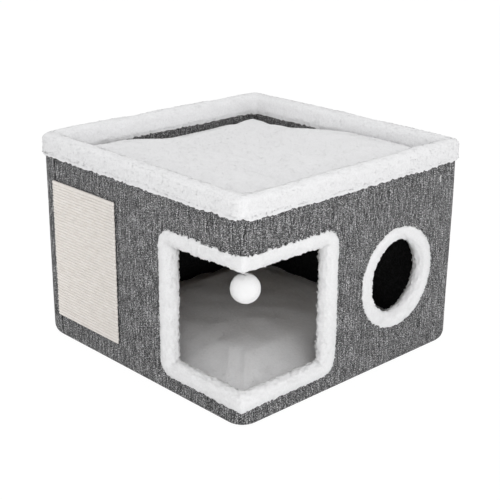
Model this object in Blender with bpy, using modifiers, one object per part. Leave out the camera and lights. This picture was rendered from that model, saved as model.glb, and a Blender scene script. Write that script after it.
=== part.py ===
# Fold-flat pet house: fabric-covered boards, a doorway round one corner, a round
# window, a scratching pad, a hanging toy ball and a padded roof in a plush rim.
# Metres, +Z up. The origin is on the floor under the middle of the house.
# The front is -Y, and the corner doorway is at -X -Y.

import math

import bmesh
import bpy
from mathutils import Matrix, Vector

# Overall sizes
house_width = 0.500
house_depth = 0.500
house_height = 0.366
corner_radius = 0.012

# The lowest tips of the boards' corners are clipped, so that the cover goes on
tip_clip = 0.007
tip_cutter_size = 0.06

# Layers of a wall, from the outside in, and the gap between pieces that touch
cover_thickness = 0.0047
board_thickness = 0.008
lining_thickness = 0.0029
touch_gap = 0.0003

# Side boards meet on a fabric hinge in the middle
fold_slit = 0.003
tape_width = 0.040
tape_thickness = 0.0006

# Plush rim and the plush bands round the doorway and the window
rim_band_height = 0.0385
rim_padding = 0.014
plush_proud = 0.0064
plush_rounding = 0.012
trim_width = 0.0275
trim_over_edge = 0.006

# Doorway, measured to the middle of its band, from the near corner and the floor
doorway_along_front = 0.191
doorway_along_left = 0.176
doorway_bottom = 0.039
doorway_top = 0.2635
doorway_corner_radius = 0.008
band_inner_radius = 0.001

# How far what is cut on the near corner first runs past it
past_corner = 0.10

# Round window in the front wall
window_x = 0.100
window_z = 0.1545
window_band_radius = 0.0765
window_band_thickness = 0.029

# Scratching pad on the rear half of the left wall
pad_from_centre = 0.048
pad_width = 0.169
pad_height = 0.2455
pad_bottom = 0.041
pad_thickness = 0.003
pad_edge_rounding = 0.001

# Roof platform and the strips that carry it
platform_underside = 0.289
platform_thickness = 0.006
platform_corner_radius = 0.010
ledge_height = 0.0105
ledge_width = 0.022
lift_clearance = 0.0029

# Floor
base_sheet_thickness = 0.0008
base_board_thickness = 0.005
base_board_clearance = 0.0018

# Cushions
roof_cushion_height = 0.0415
roof_cushion_side = 0.030
floor_cushion_height = 0.048
floor_cushion_side = 0.026
cushion_seam_share = 0.55
cushion_shoulder_share = 0.35
cushion_pull_in = 0.003
cushion_corner_inset = 0.0065
cushion_edge_roll = 0.0034
cushion_cells = 10
crease_depth = 0.0045
crease_half_width = 0.020
crease_front_x = -0.058
crease_rear_x = -0.010
crown_power = 4
corner_power = 8
cage_end_share = 0.99

# Hanging toy
ball_radius = 0.0225
toy_inset_x = 0.0306
toy_inset_y = 0.0260
tab_width = 0.010
tab_thickness = 0.0016
tab_length = 0.0135
knot_radius = 0.0022
cord_radius = 0.0010
cord_length = 0.0242
cord_sides = 12
knot_cells = (12, 8)
ball_cells = (24, 16)

# Meshes: how near points are joined, how flat a face is that becomes one, and the
# angles, in degrees, up to which faces shade as one surface
merge_distance = 0.00001
mitre_merge_distance = 0.00002
level_merge_distance = 0.001
flat_angle = 0.002
plush_smooth_angle = 35
cushion_smooth_angle = 60
toy_smooth_angle = 40
doorway_edge_segments = 4
pad_edge_segments = 2
window_sides = 40
ring_cells = (32, 14)

# Worked out from the above
half_width = house_width / 2
half_depth = house_depth / 2
wall_thickness = (
    cover_thickness + touch_gap + board_thickness + touch_gap + lining_thickness
)
board_inset = cover_thickness + touch_gap
lining_inset = board_inset + board_thickness + touch_gap
wall_bottom = base_sheet_thickness + touch_gap
wall_top = house_height - rim_padding
rim_bottom = house_height - rim_band_height
platform_inset = wall_thickness + plush_proud + lift_clearance
roof_cushion_bottom = platform_underside + platform_thickness + touch_gap
base_board_top = wall_bottom + base_board_thickness
floor_cushion_bottom = base_board_top + touch_gap
ledge_top = platform_underside - touch_gap
ledge_bottom = ledge_top - ledge_height
edge_to_band_middle = trim_width / 2 - trim_over_edge
window_cut_radius = window_band_radius - window_band_thickness / 2 + trim_over_edge
toy_x = -half_width + toy_inset_x
toy_y = -half_depth + toy_inset_y
tab_top = ledge_bottom - touch_gap
knot_z = tab_top - tab_length - touch_gap - knot_radius
cord_top = knot_z - knot_radius - touch_gap
ball_z = cord_top - cord_length - touch_gap - ball_radius

# Colours as linear values with a roughness
finishes = {
    "linen_grey": ((0.165, 0.165, 0.168), 0.9),
    "plush_white": ((0.80, 0.80, 0.81), 0.95),
    "sisal_cream": ((0.70, 0.66, 0.63), 0.85),
    "lining_black": ((0.012, 0.012, 0.012), 0.95),
    "board_brown": ((0.45, 0.33, 0.21), 0.8),
    "tape_black": ((0.02, 0.02, 0.02), 0.8),
    "cord_white": ((0.75, 0.75, 0.75), 0.8),
}


def clear_scene():
    for old in list(bpy.data.objects):
        bpy.data.objects.remove(old, do_unlink=True)


def make_collection(name):
    collection = bpy.data.collections.new(name)
    bpy.context.scene.collection.children.link(collection)
    return collection


def make_material(name, colour, roughness):
    material = bpy.data.materials.new(name)
    material.use_nodes = True
    shader = material.node_tree.nodes["Principled BSDF"]
    shader.inputs["Base Color"].default_value = (*colour, 1.0)
    shader.inputs["Roughness"].default_value = roughness
    shader.inputs["Metallic"].default_value = 0.0
    return material


def place(mesh, name, location=(0, 0, 0), rotation=(0, 0, 0)):
    piece = bpy.data.objects.new(name, mesh)
    piece.location = location
    piece.rotation_euler = rotation
    cutters.objects.link(piece)
    piece.hide_render = True
    piece.display_type = "WIRE"
    return piece


def finish_piece(piece, finish, smooth_angle=None):
    # Moves a finished shape from the cutters to the house, with its own material
    cutters.objects.unlink(piece)
    house.objects.link(piece)
    piece.hide_render = False
    piece.display_type = "TEXTURED"
    colour, roughness = finishes[finish]
    piece.data.materials.clear()
    piece.data.materials.append(make_material(piece.name, colour, roughness))
    if smooth_angle is not None:
        piece.data.shade_smooth()
        piece.data.set_sharp_from_angle(angle=math.radians(smooth_angle))
    return piece


def rounded_rectangle(x0, x1, y0, y1, radii=(0, 0, 0, 0), steps=4):
    # Corners go anticlockwise from x0 y0, each with its own radius
    centres = [
        (x0, y0, 1, 1, math.pi),
        (x1, y0, -1, 1, 1.5 * math.pi),
        (x1, y1, -1, -1, 0.0),
        (x0, y1, 1, -1, 0.5 * math.pi),
    ]
    points = []
    for (x, y, to_x, to_y, start), radius in zip(centres, radii):
        if radius <= 0:
            points.append((x, y))
            continue
        for k in range(steps + 1):
            angle = start + 0.5 * math.pi * k / steps
            points.append(
                (
                    x + to_x * radius + radius * math.cos(angle),
                    y + to_y * radius + radius * math.sin(angle),
                )
            )
    return points


def flat_mesh(outlines, thickness, rounding=0.0, rounding_steps=2):
    # A 2D curve filled on both sides, from -thickness/2 to thickness/2
    curve = bpy.data.curves.new("outline", "CURVE")
    curve.dimensions = "2D"
    curve.fill_mode = "BOTH"
    curve.extrude = thickness / 2 - rounding
    curve.bevel_depth = rounding
    curve.bevel_resolution = rounding_steps
    curve.offset = -rounding
    for outline in outlines:
        spline = curve.splines.new("POLY")
        spline.points.add(len(outline) - 1)
        for point, (x, y) in zip(spline.points, outline):
            point.co = (x, y, 0, 1)
        spline.use_cyclic_u = True
    holder = bpy.data.objects.new("outline", curve)
    bpy.context.scene.collection.objects.link(holder)
    bpy.context.view_layer.update()
    evaluated = holder.evaluated_get(bpy.context.evaluated_depsgraph_get())
    mesh = bpy.data.meshes.new_from_object(evaluated)
    bpy.data.objects.remove(holder)
    shape = bmesh.new()
    shape.from_mesh(mesh)
    bmesh.ops.remove_doubles(shape, verts=shape.verts, dist=merge_distance)
    bmesh.ops.recalc_face_normals(shape, faces=shape.faces)
    shape.to_mesh(mesh)
    shape.free()
    return mesh


def slab(name, outlines, z_low, z_high, rounding=0.0):
    # An outline in plan, raised from z_low to z_high
    mesh = flat_mesh(outlines, z_high - z_low, rounding)
    return place(mesh, name, location=(0, 0, (z_low + z_high) / 2))


def plan_outline(inset, radius=0.0):
    radii = (radius,) * 4
    x = half_width - inset
    y = half_depth - inset
    return rounded_rectangle(-x, x, -y, y, radii)


def wall_ring(name, inset, thickness, z_low, z_high, radius):
    # A sleeve round all four walls
    inner_radius = max(radius - thickness, 0.0)
    outlines = [
        plan_outline(inset, radius),
        plan_outline(inset + thickness, inner_radius),
    ]
    return slab(name, outlines, z_low, z_high)


def box(name, low, high):
    bpy.ops.mesh.primitive_cube_add(size=1)
    piece = bpy.context.object
    piece.name = name
    for old in piece.users_collection:
        old.objects.unlink(piece)
    cutters.objects.link(piece)
    piece.hide_render = True
    piece.display_type = "WIRE"
    size = Vector(high) - Vector(low)
    piece.data.transform(Matrix.Diagonal((*size, 1.0)))
    piece.location = (Vector(low) + Vector(high)) / 2
    return piece


def cylinder(name, radius, length, location, rotation, sides):
    shape = bmesh.new()
    bmesh.ops.create_cone(
        shape,
        cap_ends=True,
        segments=sides,
        radius1=radius,
        radius2=radius,
        depth=length,
    )
    mesh = bpy.data.meshes.new(name)
    shape.to_mesh(mesh)
    shape.free()
    return place(mesh, name, location, rotation)


def cut(piece, cutter):
    tool = piece.modifiers.new("cut by " + cutter.name, "BOOLEAN")
    tool.operation = "DIFFERENCE"
    tool.solver = "EXACT"
    tool.object = cutter


def round_edges(piece, width, segments):
    bevel = piece.modifiers.new("rounded edges", "BEVEL")
    bevel.width = width
    bevel.segments = segments
    bevel.limit_method = "ANGLE"
    return bevel


# The doorway cuts both walls at the near corner. Its band reaches inwards of the
# cut by trim_over_edge.
def doorway_cutter(name, grow):
    reach = edge_to_band_middle - grow
    low = (
        -half_width - past_corner,
        -half_depth - past_corner,
        doorway_bottom + reach,
    )
    high = (
        -half_width + doorway_along_front - reach,
        -half_depth + doorway_along_left - reach,
        doorway_top - reach,
    )
    cutter = box(name, low, high)
    round_edges(cutter, doorway_corner_radius + grow, doorway_edge_segments)
    return cutter


def window_cutter(name, grow):
    return cylinder(
        name,
        window_cut_radius + grow,
        4 * wall_thickness,
        (window_x, -half_depth + wall_thickness / 2, window_z),
        (math.pi / 2, 0, 0),
        window_sides,
    )


def open_walls(piece):
    cut(piece, doorway_cut)
    cut(piece, window_cut)


# The space that the finished walls fill, with the gap round it: it cuts the slot
# in each plush band
def make_wall_slot():
    slot = wall_ring(
        "wall_slot",
        -touch_gap,
        wall_thickness + 2 * touch_gap,
        -wall_bottom,
        wall_top + touch_gap,
        corner_radius + touch_gap,
    )
    cut(slot, doorway_cutter("doorway_in_slot", -touch_gap))
    cut(slot, window_cutter("window_in_slot", -touch_gap))
    return slot


# A block that leans outwards over one corner of the house, from the floor up
def clip_tip(board, side_x, side_y):
    heading = math.atan2(side_y, side_x)
    out = Vector((math.cos(heading), math.sin(heading), 0))
    turn_x = side_x * (half_width - corner_radius)
    turn_y = side_y * (half_depth - corner_radius)
    tip = Vector((turn_x, turn_y, wall_bottom)) + out * (corner_radius - board_inset)
    away = (out - Vector((0, 0, 1))).normalized()
    middle = tip - out * tip_clip + away * tip_cutter_size / 2
    half = Vector((1, 1, 1)) * tip_cutter_size / 2
    block = box(board.name + "_tip_cut", middle - half, middle + half)
    block.rotation_euler = (0, math.pi / 4, heading)
    cut(board, block)


def make_end_board(name, side):
    # Front and rear boards run the full width, rounded under the cover's corners
    outer = half_depth - board_inset
    inner = outer - board_thickness
    radius = corner_radius - board_inset
    x = half_width - board_inset
    if side < 0:
        outline = rounded_rectangle(-x, x, -outer, -inner, (radius, radius, 0, 0))
    else:
        outline = rounded_rectangle(-x, x, inner, outer, (0, 0, radius, radius))
    board = slab(name, [outline], wall_bottom, wall_top)
    if side < 0:
        open_walls(board)
    clip_tip(board, -1, side)
    clip_tip(board, 1, side)
    return finish_piece(board, "board_brown")


def make_side_board(name, side, end, rebate):
    # Half of a side wall, between the end boards, from the fold to one end
    x_outer = side * (half_width - board_inset)
    x_inner = side * (half_width - board_inset - board_thickness)
    y_fold = end * fold_slit / 2
    y_end = end * (half_depth - lining_inset)
    low = (min(x_outer, x_inner), min(y_fold, y_end), wall_bottom)
    high = (max(x_outer, x_inner), max(y_fold, y_end), wall_top)
    board = box(name, low, high)
    cut(board, rebate)
    if side < 0 and end < 0:
        cut(board, doorway_cut)
    clip_tip(board, side, end)
    return finish_piece(board, "board_brown")


def tape_box(name, side, width, thickness, past_ends, past_face):
    x_face = half_width - board_inset - board_thickness
    x = sorted((side * (x_face - past_face), side * (x_face + thickness)))
    z_low = wall_bottom - past_ends
    z_high = wall_top + past_ends
    return box(name, (x[0], -width / 2, z_low), (x[1], width / 2, z_high))


def make_side_wall(side, side_name):
    rebate = tape_box(
        side_name + "_rebate",
        side,
        tape_width + 2 * touch_gap,
        tape_thickness + touch_gap,
        past_ends=tape_width / 4,
        past_face=tape_width / 4,
    )
    make_side_board(side_name + "_front_board", side, -1, rebate)
    make_side_board(side_name + "_rear_board", side, 1, rebate)
    tape = tape_box(side_name + "_fold_tape", side, tape_width, tape_thickness, 0, 0)
    finish_piece(tape, "tape_black")


def make_cover():
    cover = wall_ring(
        "outer_cover", 0, cover_thickness, wall_bottom, wall_top, corner_radius
    )
    open_walls(cover)
    finish_piece(cover, "linen_grey")


def make_linings():
    lining = wall_ring(
        "cave_lining", lining_inset, lining_thickness, wall_bottom, ledge_top, 0
    )
    open_walls(lining)
    finish_piece(lining, "lining_black")
    facing = wall_ring(
        "recess_facing",
        lining_inset,
        lining_thickness,
        platform_underside,
        wall_top,
        0,
    )
    finish_piece(facing, "linen_grey")


def make_floor():
    sheet = slab(
        "base_sheet", [plan_outline(0, corner_radius)], 0, base_sheet_thickness
    )
    finish_piece(sheet, "lining_black")
    board = slab(
        "base_board",
        [plan_outline(wall_thickness + base_board_clearance, corner_radius)],
        wall_bottom,
        base_board_top,
    )
    finish_piece(board, "board_brown")


def make_rim():
    outlines = [
        plan_outline(-plush_proud, corner_radius + plush_proud),
        plan_outline(wall_thickness + plush_proud, corner_radius),
    ]
    rim = slab("plush_rim", outlines, rim_bottom, house_height, plush_rounding)
    cut(rim, wall_slot)
    finish_piece(rim, "plush_white", plush_smooth_angle)


def band_half(along, rotation, keep_side):
    # One wall's share of the doorway band, flat in that wall, run past the corner
    # and cut on the mitre
    middle = half_width - wall_thickness / 2
    half_band = trim_width / 2
    outer_radius = doorway_corner_radius + edge_to_band_middle + half_band
    inner_radius = max(outer_radius - trim_width, band_inner_radius)
    reach = along - wall_thickness / 2
    outlines = [
        rounded_rectangle(
            -past_corner - grow,
            reach + grow,
            doorway_bottom - grow,
            doorway_top + grow,
            (radius,) * 4,
        )
        for grow, radius in ((half_band, outer_radius), (-half_band, inner_radius))
    ]
    thickness = wall_thickness + 2 * plush_proud
    mesh = flat_mesh(outlines, thickness, plush_rounding)
    corner = Vector((-middle, -half_depth + wall_thickness / 2, 0))
    mesh.transform(Matrix.Translation(corner) @ rotation)
    shape = bmesh.new()
    shape.from_mesh(mesh)
    bmesh.ops.bisect_plane(
        shape,
        geom=shape.verts[:] + shape.edges[:] + shape.faces[:],
        plane_co=corner,
        plane_no=Vector((keep_side, -keep_side, 0)),
        clear_inner=True,
    )
    # Each flat side becomes one face, so that both halves end in the same points
    bmesh.ops.dissolve_limit(
        shape,
        angle_limit=flat_angle,
        use_dissolve_boundaries=False,
        verts=shape.verts[:],
        edges=shape.edges[:],
    )
    return shape


def make_doorway_trim():
    upright = Matrix.Rotation(math.pi / 2, 4, "X")
    turned = Matrix.Rotation(math.pi / 2, 4, "Z") @ upright
    front_half = band_half(doorway_along_front, upright, 1)
    left_half = band_half(doorway_along_left, turned, -1)
    both = bpy.data.meshes.new("left half")
    left_half.to_mesh(both)
    front_half.from_mesh(both)
    left_half.free()
    bmesh.ops.remove_doubles(
        front_half, verts=front_half.verts, dist=mitre_merge_distance
    )
    bmesh.ops.recalc_face_normals(front_half, faces=front_half.faces)
    front_half.to_mesh(both)
    front_half.free()
    trim = place(both, "doorway_trim")
    cut(trim, wall_slot)
    finish_piece(trim, "plush_white", plush_smooth_angle)


def make_window_trim():
    bpy.ops.mesh.primitive_torus_add(
        major_radius=window_band_radius,
        minor_radius=window_band_thickness / 2,
        major_segments=ring_cells[0],
        minor_segments=ring_cells[1],
    )
    ring = bpy.context.object
    mesh = ring.data
    bpy.data.objects.remove(ring)
    trim = place(
        mesh,
        "window_trim",
        (window_x, -half_depth + wall_thickness / 2, window_z),
        (math.pi / 2, 0, 0),
    )
    cut(trim, wall_slot)
    finish_piece(trim, "plush_white", plush_smooth_angle)


def make_scratch_pad():
    x_out = -half_width - touch_gap - pad_thickness
    pad = box(
        "scratch_pad",
        (x_out, pad_from_centre, pad_bottom),
        (-half_width - touch_gap, pad_from_centre + pad_width, pad_bottom + pad_height),
    )
    round_edges(pad, pad_edge_rounding, pad_edge_segments)
    finish_piece(pad, "sisal_cream")


def make_ledges():
    # Strips inside the walls, split where the side walls fold
    x_out = half_width - wall_thickness - touch_gap
    y_out = half_depth - wall_thickness - touch_gap
    y_in = y_out - ledge_width
    for name, side in (("front_ledge", -1), ("rear_ledge", 1)):
        y = sorted((side * y_out, side * y_in))
        ledge = box(name, (-x_out, y[0], ledge_bottom), (x_out, y[1], ledge_top))
        finish_piece(ledge, "board_brown")
    for side_name, side in (("left", -1), ("right", 1)):
        x = sorted((side * x_out, side * (x_out - ledge_width)))
        for end_name, end in (("front", -1), ("rear", 1)):
            y = sorted((end * fold_slit / 2, end * (y_in - touch_gap)))
            ledge = box(
                side_name + "_" + end_name + "_ledge",
                (x[0], y[0], ledge_bottom),
                (x[1], y[1], ledge_top),
            )
            finish_piece(ledge, "board_brown")


def make_platform():
    board = slab(
        "platform_board",
        [plan_outline(platform_inset, platform_corner_radius)],
        platform_underside,
        platform_underside + platform_thickness,
    )
    finish_piece(board, "board_brown")


def crease_drop(x, y):
    # A soft valley that runs from the front to the rear, slightly aslant
    along = (y + half_depth) / house_depth
    middle = crease_front_x + (crease_rear_x - crease_front_x) * along
    across = (x - middle) / crease_half_width
    return crease_depth * math.exp(-across * across)


def make_cushion(name, bottom, height, side_height, creased):
    # A coarse cage of three layers, bottom, seam and top, smoothed by one
    # subdivision. It has a crown, and its sides draw in between the corners.
    half_x = half_width - platform_inset
    half_y = half_depth - platform_inset
    seam_z = side_height * cushion_seam_share
    cage = bmesh.new()
    bmesh.ops.create_cube(cage, size=2)
    bmesh.ops.subdivide_edges(
        cage, edges=cage.edges[:], cuts=cushion_cells - 1, use_grid_fill=True
    )
    # All levels between the bottom and the top become the seam
    for vertex in cage.verts:
        if abs(vertex.co.z) < cage_end_share:
            vertex.co.z = 0.0
    bmesh.ops.remove_doubles(cage, verts=cage.verts, dist=level_merge_distance)
    for vertex in cage.verts:
        u, v, level = vertex.co
        corner = cushion_corner_inset * (u * v) ** corner_power
        x = u * (half_x - cushion_pull_in * (1 - v * v)) - math.copysign(corner, u)
        y = v * (half_y - cushion_pull_in * (1 - u * u)) - math.copysign(corner, v)
        on_edge = max(abs(u), abs(v)) > cage_end_share
        if on_edge and level != 0:
            x -= math.copysign(cushion_edge_roll, x) * abs(u)
            y -= math.copysign(cushion_edge_roll, y) * abs(v)
        if level > 0:
            rise = (1 - u**crown_power) * (1 - v**crown_power)
            shoulder = cushion_shoulder_share
            z = side_height + (height - side_height) * (shoulder + (1 - shoulder) * rise)
            if creased:
                z -= crease_drop(x, y) * math.sqrt(rise)
        elif level < 0:
            z = 0.0
        else:
            z = seam_z
        vertex.co = (x, y, z)
    bmesh.ops.recalc_face_normals(cage, faces=cage.faces)
    crease = cage.edges.layers.float.new("crease_edge")
    for edge in cage.edges:
        if all(abs(vertex.co.z - seam_z) < touch_gap for vertex in edge.verts):
            edge[crease] = 1.0
    mesh = bpy.data.meshes.new(name)
    cage.to_mesh(mesh)
    cage.free()
    cushion = place(mesh, name, (0, 0, bottom))
    smooth = cushion.modifiers.new("soft surface", "SUBSURF")
    smooth.levels = 1
    smooth.render_levels = 1
    finish_piece(cushion, "plush_white", cushion_smooth_angle)


def make_toy():
    # The ball hangs inside the doorway's corner, from a tab under the front ledge.
    # It swings about the knot.
    pivot = bpy.data.objects.new("toy_pivot", None)
    pivot.location = (toy_x, toy_y, knot_z)
    cutters.objects.link(pivot)

    tab = box(
        "toy_tab",
        (toy_x - tab_width / 2, toy_y - tab_thickness / 2, tab_top - tab_length),
        (toy_x + tab_width / 2, toy_y + tab_thickness / 2, tab_top),
    )
    finish_piece(tab, "cord_white")

    def sphere(name, radius, cells):
        shape = bmesh.new()
        bmesh.ops.create_uvsphere(
            shape, u_segments=cells[0], v_segments=cells[1], radius=radius
        )
        mesh = bpy.data.meshes.new(name)
        shape.to_mesh(mesh)
        shape.free()
        return place(mesh, name)

    knot = sphere("toy_knot", knot_radius, knot_cells)
    cord = cylinder(
        "toy_cord",
        cord_radius,
        cord_length,
        (0, 0, cord_top - cord_length / 2 - knot_z),
        (0, 0, 0),
        cord_sides,
    )
    ball = sphere("toy_ball", ball_radius, ball_cells)
    ball.location = (0, 0, ball_z - knot_z)
    for piece, finish in ((knot, "cord_white"), (cord, "cord_white"), (ball, "plush_white")):
        finish_piece(piece, finish, toy_smooth_angle)
        piece.parent = pivot


clear_scene()
house = make_collection("pet_house")
cutters = make_collection("cutters")
doorway_cut = doorway_cutter("doorway_cut", 0)
window_cut = window_cutter("window_cut", 0)
wall_slot = make_wall_slot()

make_end_board("front_board", -1)
make_end_board("rear_board", 1)
make_side_wall(-1, "left")
make_side_wall(1, "right")
make_cover()
make_linings()
make_floor()
make_rim()
make_doorway_trim()
make_window_trim()
make_scratch_pad()
make_ledges()
make_platform()
make_cushion(
    "roof_cushion", roof_cushion_bottom, roof_cushion_height, roof_cushion_side, True
)
make_cushion(
    "floor_cushion",
    floor_cushion_bottom,
    floor_cushion_height,
    floor_cushion_side,
    False,
)
make_toy()
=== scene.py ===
import itertools
import math

import bmesh
import bpy
import numpy as np
from mathutils import Matrix, Vector


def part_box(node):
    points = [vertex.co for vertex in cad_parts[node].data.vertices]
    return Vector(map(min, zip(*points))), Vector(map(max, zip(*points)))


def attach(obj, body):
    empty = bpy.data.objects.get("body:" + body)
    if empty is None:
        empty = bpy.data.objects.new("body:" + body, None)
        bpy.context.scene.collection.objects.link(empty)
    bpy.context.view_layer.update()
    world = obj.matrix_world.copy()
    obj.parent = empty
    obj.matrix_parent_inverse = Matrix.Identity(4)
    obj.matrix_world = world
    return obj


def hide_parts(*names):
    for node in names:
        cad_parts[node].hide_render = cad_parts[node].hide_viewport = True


# The looks of a cube-shaped pet house: grey linen walls, a plush rim round a padded roof, a plush-edged
# doorway round the near corner, a round window, a sisal pad and a toy ball.
# Metres, +Z up. The front wall faces -Y, the wall with the sisal pad faces -X.

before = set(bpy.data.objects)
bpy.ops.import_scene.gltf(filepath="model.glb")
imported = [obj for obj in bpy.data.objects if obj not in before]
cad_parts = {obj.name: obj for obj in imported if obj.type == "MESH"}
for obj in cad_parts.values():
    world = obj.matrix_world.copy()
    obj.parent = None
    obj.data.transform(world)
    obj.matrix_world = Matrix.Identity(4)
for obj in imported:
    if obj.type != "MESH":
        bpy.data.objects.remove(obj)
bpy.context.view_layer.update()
scene = bpy.context.scene

# Camera, fitted to the corners of the house in the photograph
cameraSettings = {
    "azimuth": -0.7612,
    "elevation": 0.3494,
    "roll": 0.0092,
    "distance": 1.937,
    "aimAside": 0.0019,
    "aimHeight": 0.1582,
    "focalPixels": 1104.4,
    "framePixels": 500,
    "sensor": 36.0,
}


def makeCamera(c):
    azimuth, elevation, roll = c["azimuth"], c["elevation"], c["roll"]
    back = Vector(
        (
            math.sin(azimuth) * math.cos(elevation),
            -math.cos(azimuth) * math.cos(elevation),
            math.sin(elevation),
        )
    )
    level = Vector((math.cos(azimuth), math.sin(azimuth), 0))
    upright = back.cross(level)
    right = level * math.cos(roll) + upright * math.sin(roll)
    up = upright * math.cos(roll) - level * math.sin(roll)
    place = level * c["aimAside"] + Vector((0, 0, c["aimHeight"])) + back * c["distance"]
    lens = bpy.data.cameras.new("house_camera")
    lens.sensor_width = c["sensor"]
    lens.lens = c["focalPixels"] / c["framePixels"] * c["sensor"]
    camera = bpy.data.objects.new("house_camera", lens)
    scene.collection.objects.link(camera)
    camera.matrix_world = Matrix((right, up, back)).transposed().to_4x4()
    camera.location = place
    scene.camera = camera


makeCamera(cameraSettings)
print("camera placed")

# Places read from the solids
coverLow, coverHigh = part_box("outer_cover")
liningLow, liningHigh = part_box("cave_lining")
facingLow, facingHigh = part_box("recess_facing")
rimLow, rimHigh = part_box("plush_rim")
doorLow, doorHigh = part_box("doorway_trim")
windowLow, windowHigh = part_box("window_trim")
padLow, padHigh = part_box("scratch_pad")

walls = {
    "half": coverHigh.x,
    "bottom": coverLow.z,
    "top": coverHigh.z,
    "thickness": 0.0162,
    "cornerRadius": 0.012,
    "reach": 0.03,  # points no deeper than this behind a wall's face belong to it
    "probe": 0.002,  # how far out from a plush surface the wall that hides it is looked for
    "trimToCut": 0.0215,  # from the outer edge of the doorway's trim to the cut in the wall
    "ringToCut": 0.0199,  # the same for the window
    "snap": 0.0022,  # points of a sleeve this close to the window's edge move onto it
}
doorX = doorHigh.x - walls["trimToCut"]
doorY = doorHigh.y - walls["trimToCut"]
doorBottom = doorLow.z + walls["trimToCut"]
doorTop = doorHigh.z - walls["trimToCut"]
windowX = (windowLow.x + windowHigh.x) / 2
windowZ = (windowLow.z + windowHigh.z) / 2
windowRadius = (windowHigh.x - windowLow.x) / 2 - walls["ringToCut"]


# Which points are inside the walls, apart from the doorway and the window
def insideWalls(points):
    x, y, z = points.T
    out = np.maximum(abs(x), abs(y))
    inner = walls["half"] - walls["thickness"]
    inWall = (out > inner) & (out < walls["half"]) & (z < walls["top"])
    inDoor = (x < doorX) & (y < doorY) & (z > doorBottom) & (z < doorTop)
    inWindow = (y < -inner) & (np.hypot(x - windowX, z - windowZ) < windowRadius)
    return inWall & ~inDoor & ~inWindow


# Large odd numbers that only mix bits
mixers = {"cell": (73856093, 19349663, 83492791), "seed": 2654435, "last": 1274126177}
keptBits = 0x7FFFFFFF
usedBits = 0xFFFFFF


# Repeatable random numbers from 0 to 1, one for each cell of a grid
def cellRandom(cells, seed):
    keys = cells.astype(np.int64) * mixers["cell"]
    mixed = keys[..., 0] ^ keys[..., 1] ^ keys[..., 2]
    mixed = (mixed ^ seed * mixers["seed"]) & keptBits
    mixed = (mixed ^ mixed >> 13) * mixers["last"] & keptBits
    return ((mixed ^ mixed >> 15) & usedBits) / usedBits


# Smooth noise from -1 to 1, with waves about as long as size
def softNoise(points, size, seed):
    at = points / size
    cell = np.floor(at)
    part = at - cell
    part = part * part * (3 - 2 * part)
    total = np.zeros(len(points))
    for corner in itertools.product((0, 1), repeat=3):
        share = np.where(corner, part, 1 - part).prod(axis=-1)
        total += share * cellRandom(cell + corner, seed)
    return 2 * total - 1


# Rounded clumps about as wide as size: 1 in the middle of a clump, 0 in the hollows
def clumpNoise(points, size, seed):
    at = points / size
    cell = np.floor(at)
    nearest = np.ones(len(points))
    for step in itertools.product((-1, 0, 1), repeat=3):
        near = cell + step
        middle = near + np.stack([cellRandom(near, seed + k) for k in range(3)], axis=-1)
        nearest = np.minimum(nearest, ((at - middle) ** 2).sum(axis=-1))
    return 1 - np.sqrt(nearest)


def smoothStep(value, low, high):
    part = np.clip((value - low) / (high - low), 0, 1)
    return part * part * (3 - 2 * part)


# A mesh from arrays: points, then one array for each kind of face
def meshFrom(name, points, *faceSets):
    corners = np.concatenate([faces.ravel() for faces in faceSets]).astype(np.int32)
    sides = np.concatenate([np.full(len(faces), faces.shape[1]) for faces in faceSets])
    starts = np.concatenate([[0], np.cumsum(sides)[:-1]]).astype(np.int32)
    mesh = bpy.data.meshes.new(name)
    mesh.vertices.add(len(points))
    mesh.vertices.foreach_set("co", points.astype(np.float32).ravel())
    mesh.loops.add(len(corners))
    mesh.loops.foreach_set("vertex_index", corners)
    mesh.polygons.add(len(sides))
    mesh.polygons.foreach_set("loop_start", starts)
    mesh.update(calc_edges=True)
    mesh.validate()
    return mesh


def newPiece(name, mesh):
    piece = bpy.data.objects.new(name, mesh)
    scene.collection.objects.link(piece)
    mesh.shade_smooth()
    return piece


def vectorsOf(source, label):
    found = np.zeros(len(source) * 3, np.float32)
    source.foreach_get(label, found)
    return found.reshape(-1, 3).astype(float)


def pointsOf(mesh):
    return vectorsOf(mesh.vertices, "co")


def normalsOf(mesh):
    return vectorsOf(mesh.vertex_normals, "vector")


def movePoints(mesh, points):
    mesh.vertices.foreach_set("co", points.astype(np.float32).ravel())
    mesh.update()


# Turns a piece's modifiers into its mesh
def applyModifiers(piece):
    bpy.context.view_layer.update()
    evaluated = piece.evaluated_get(bpy.context.evaluated_depsgraph_get())
    mesh = bpy.data.meshes.new_from_object(evaluated)
    piece.modifiers.clear()
    piece.data = mesh
    mesh.shade_smooth()
    return mesh


# Quads of a grid of rows by columns, for the cells in keep or for all of them
def gridFaces(rows, columns, keep=None):
    row, column = np.meshgrid(np.arange(rows - 1), np.arange(columns - 1), indexing="ij")
    first = row * columns + column
    faces = np.stack([first, first + 1, first + columns + 1, first + columns], axis=-1)
    faces = faces.reshape(-1, 4)
    return faces if keep is None else faces[keep.ravel()]


# The points that the faces use, and the faces counted over these points alone
def usedPoints(faces):
    used, again = np.unique(faces, return_inverse=True)
    return used, again.reshape(faces.shape)


# Cloth as a grid. Its attribute cloth holds each point's place along the threads, for the weave, and any
# painted shade
def clothPiece(name, points, cloth, faces, thickness):
    used, faces = usedPoints(faces)
    piece = newPiece(name, meshFrom(name, points[used], faces))
    threads = piece.data.attributes.new("cloth", "FLOAT_VECTOR", "POINT")
    threads.data.foreach_set("vector", cloth[used].astype(np.float32).ravel())
    back = piece.modifiers.new("cloth thickness", "SOLIDIFY")
    back.thickness = thickness
    back.offset = -1
    applyModifiers(piece)
    return piece


# Shader helpers
def setInputs(node, **values):
    for label, value in values.items():
        node.inputs[label.replace("_", " ")].default_value = value
    return node


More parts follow.
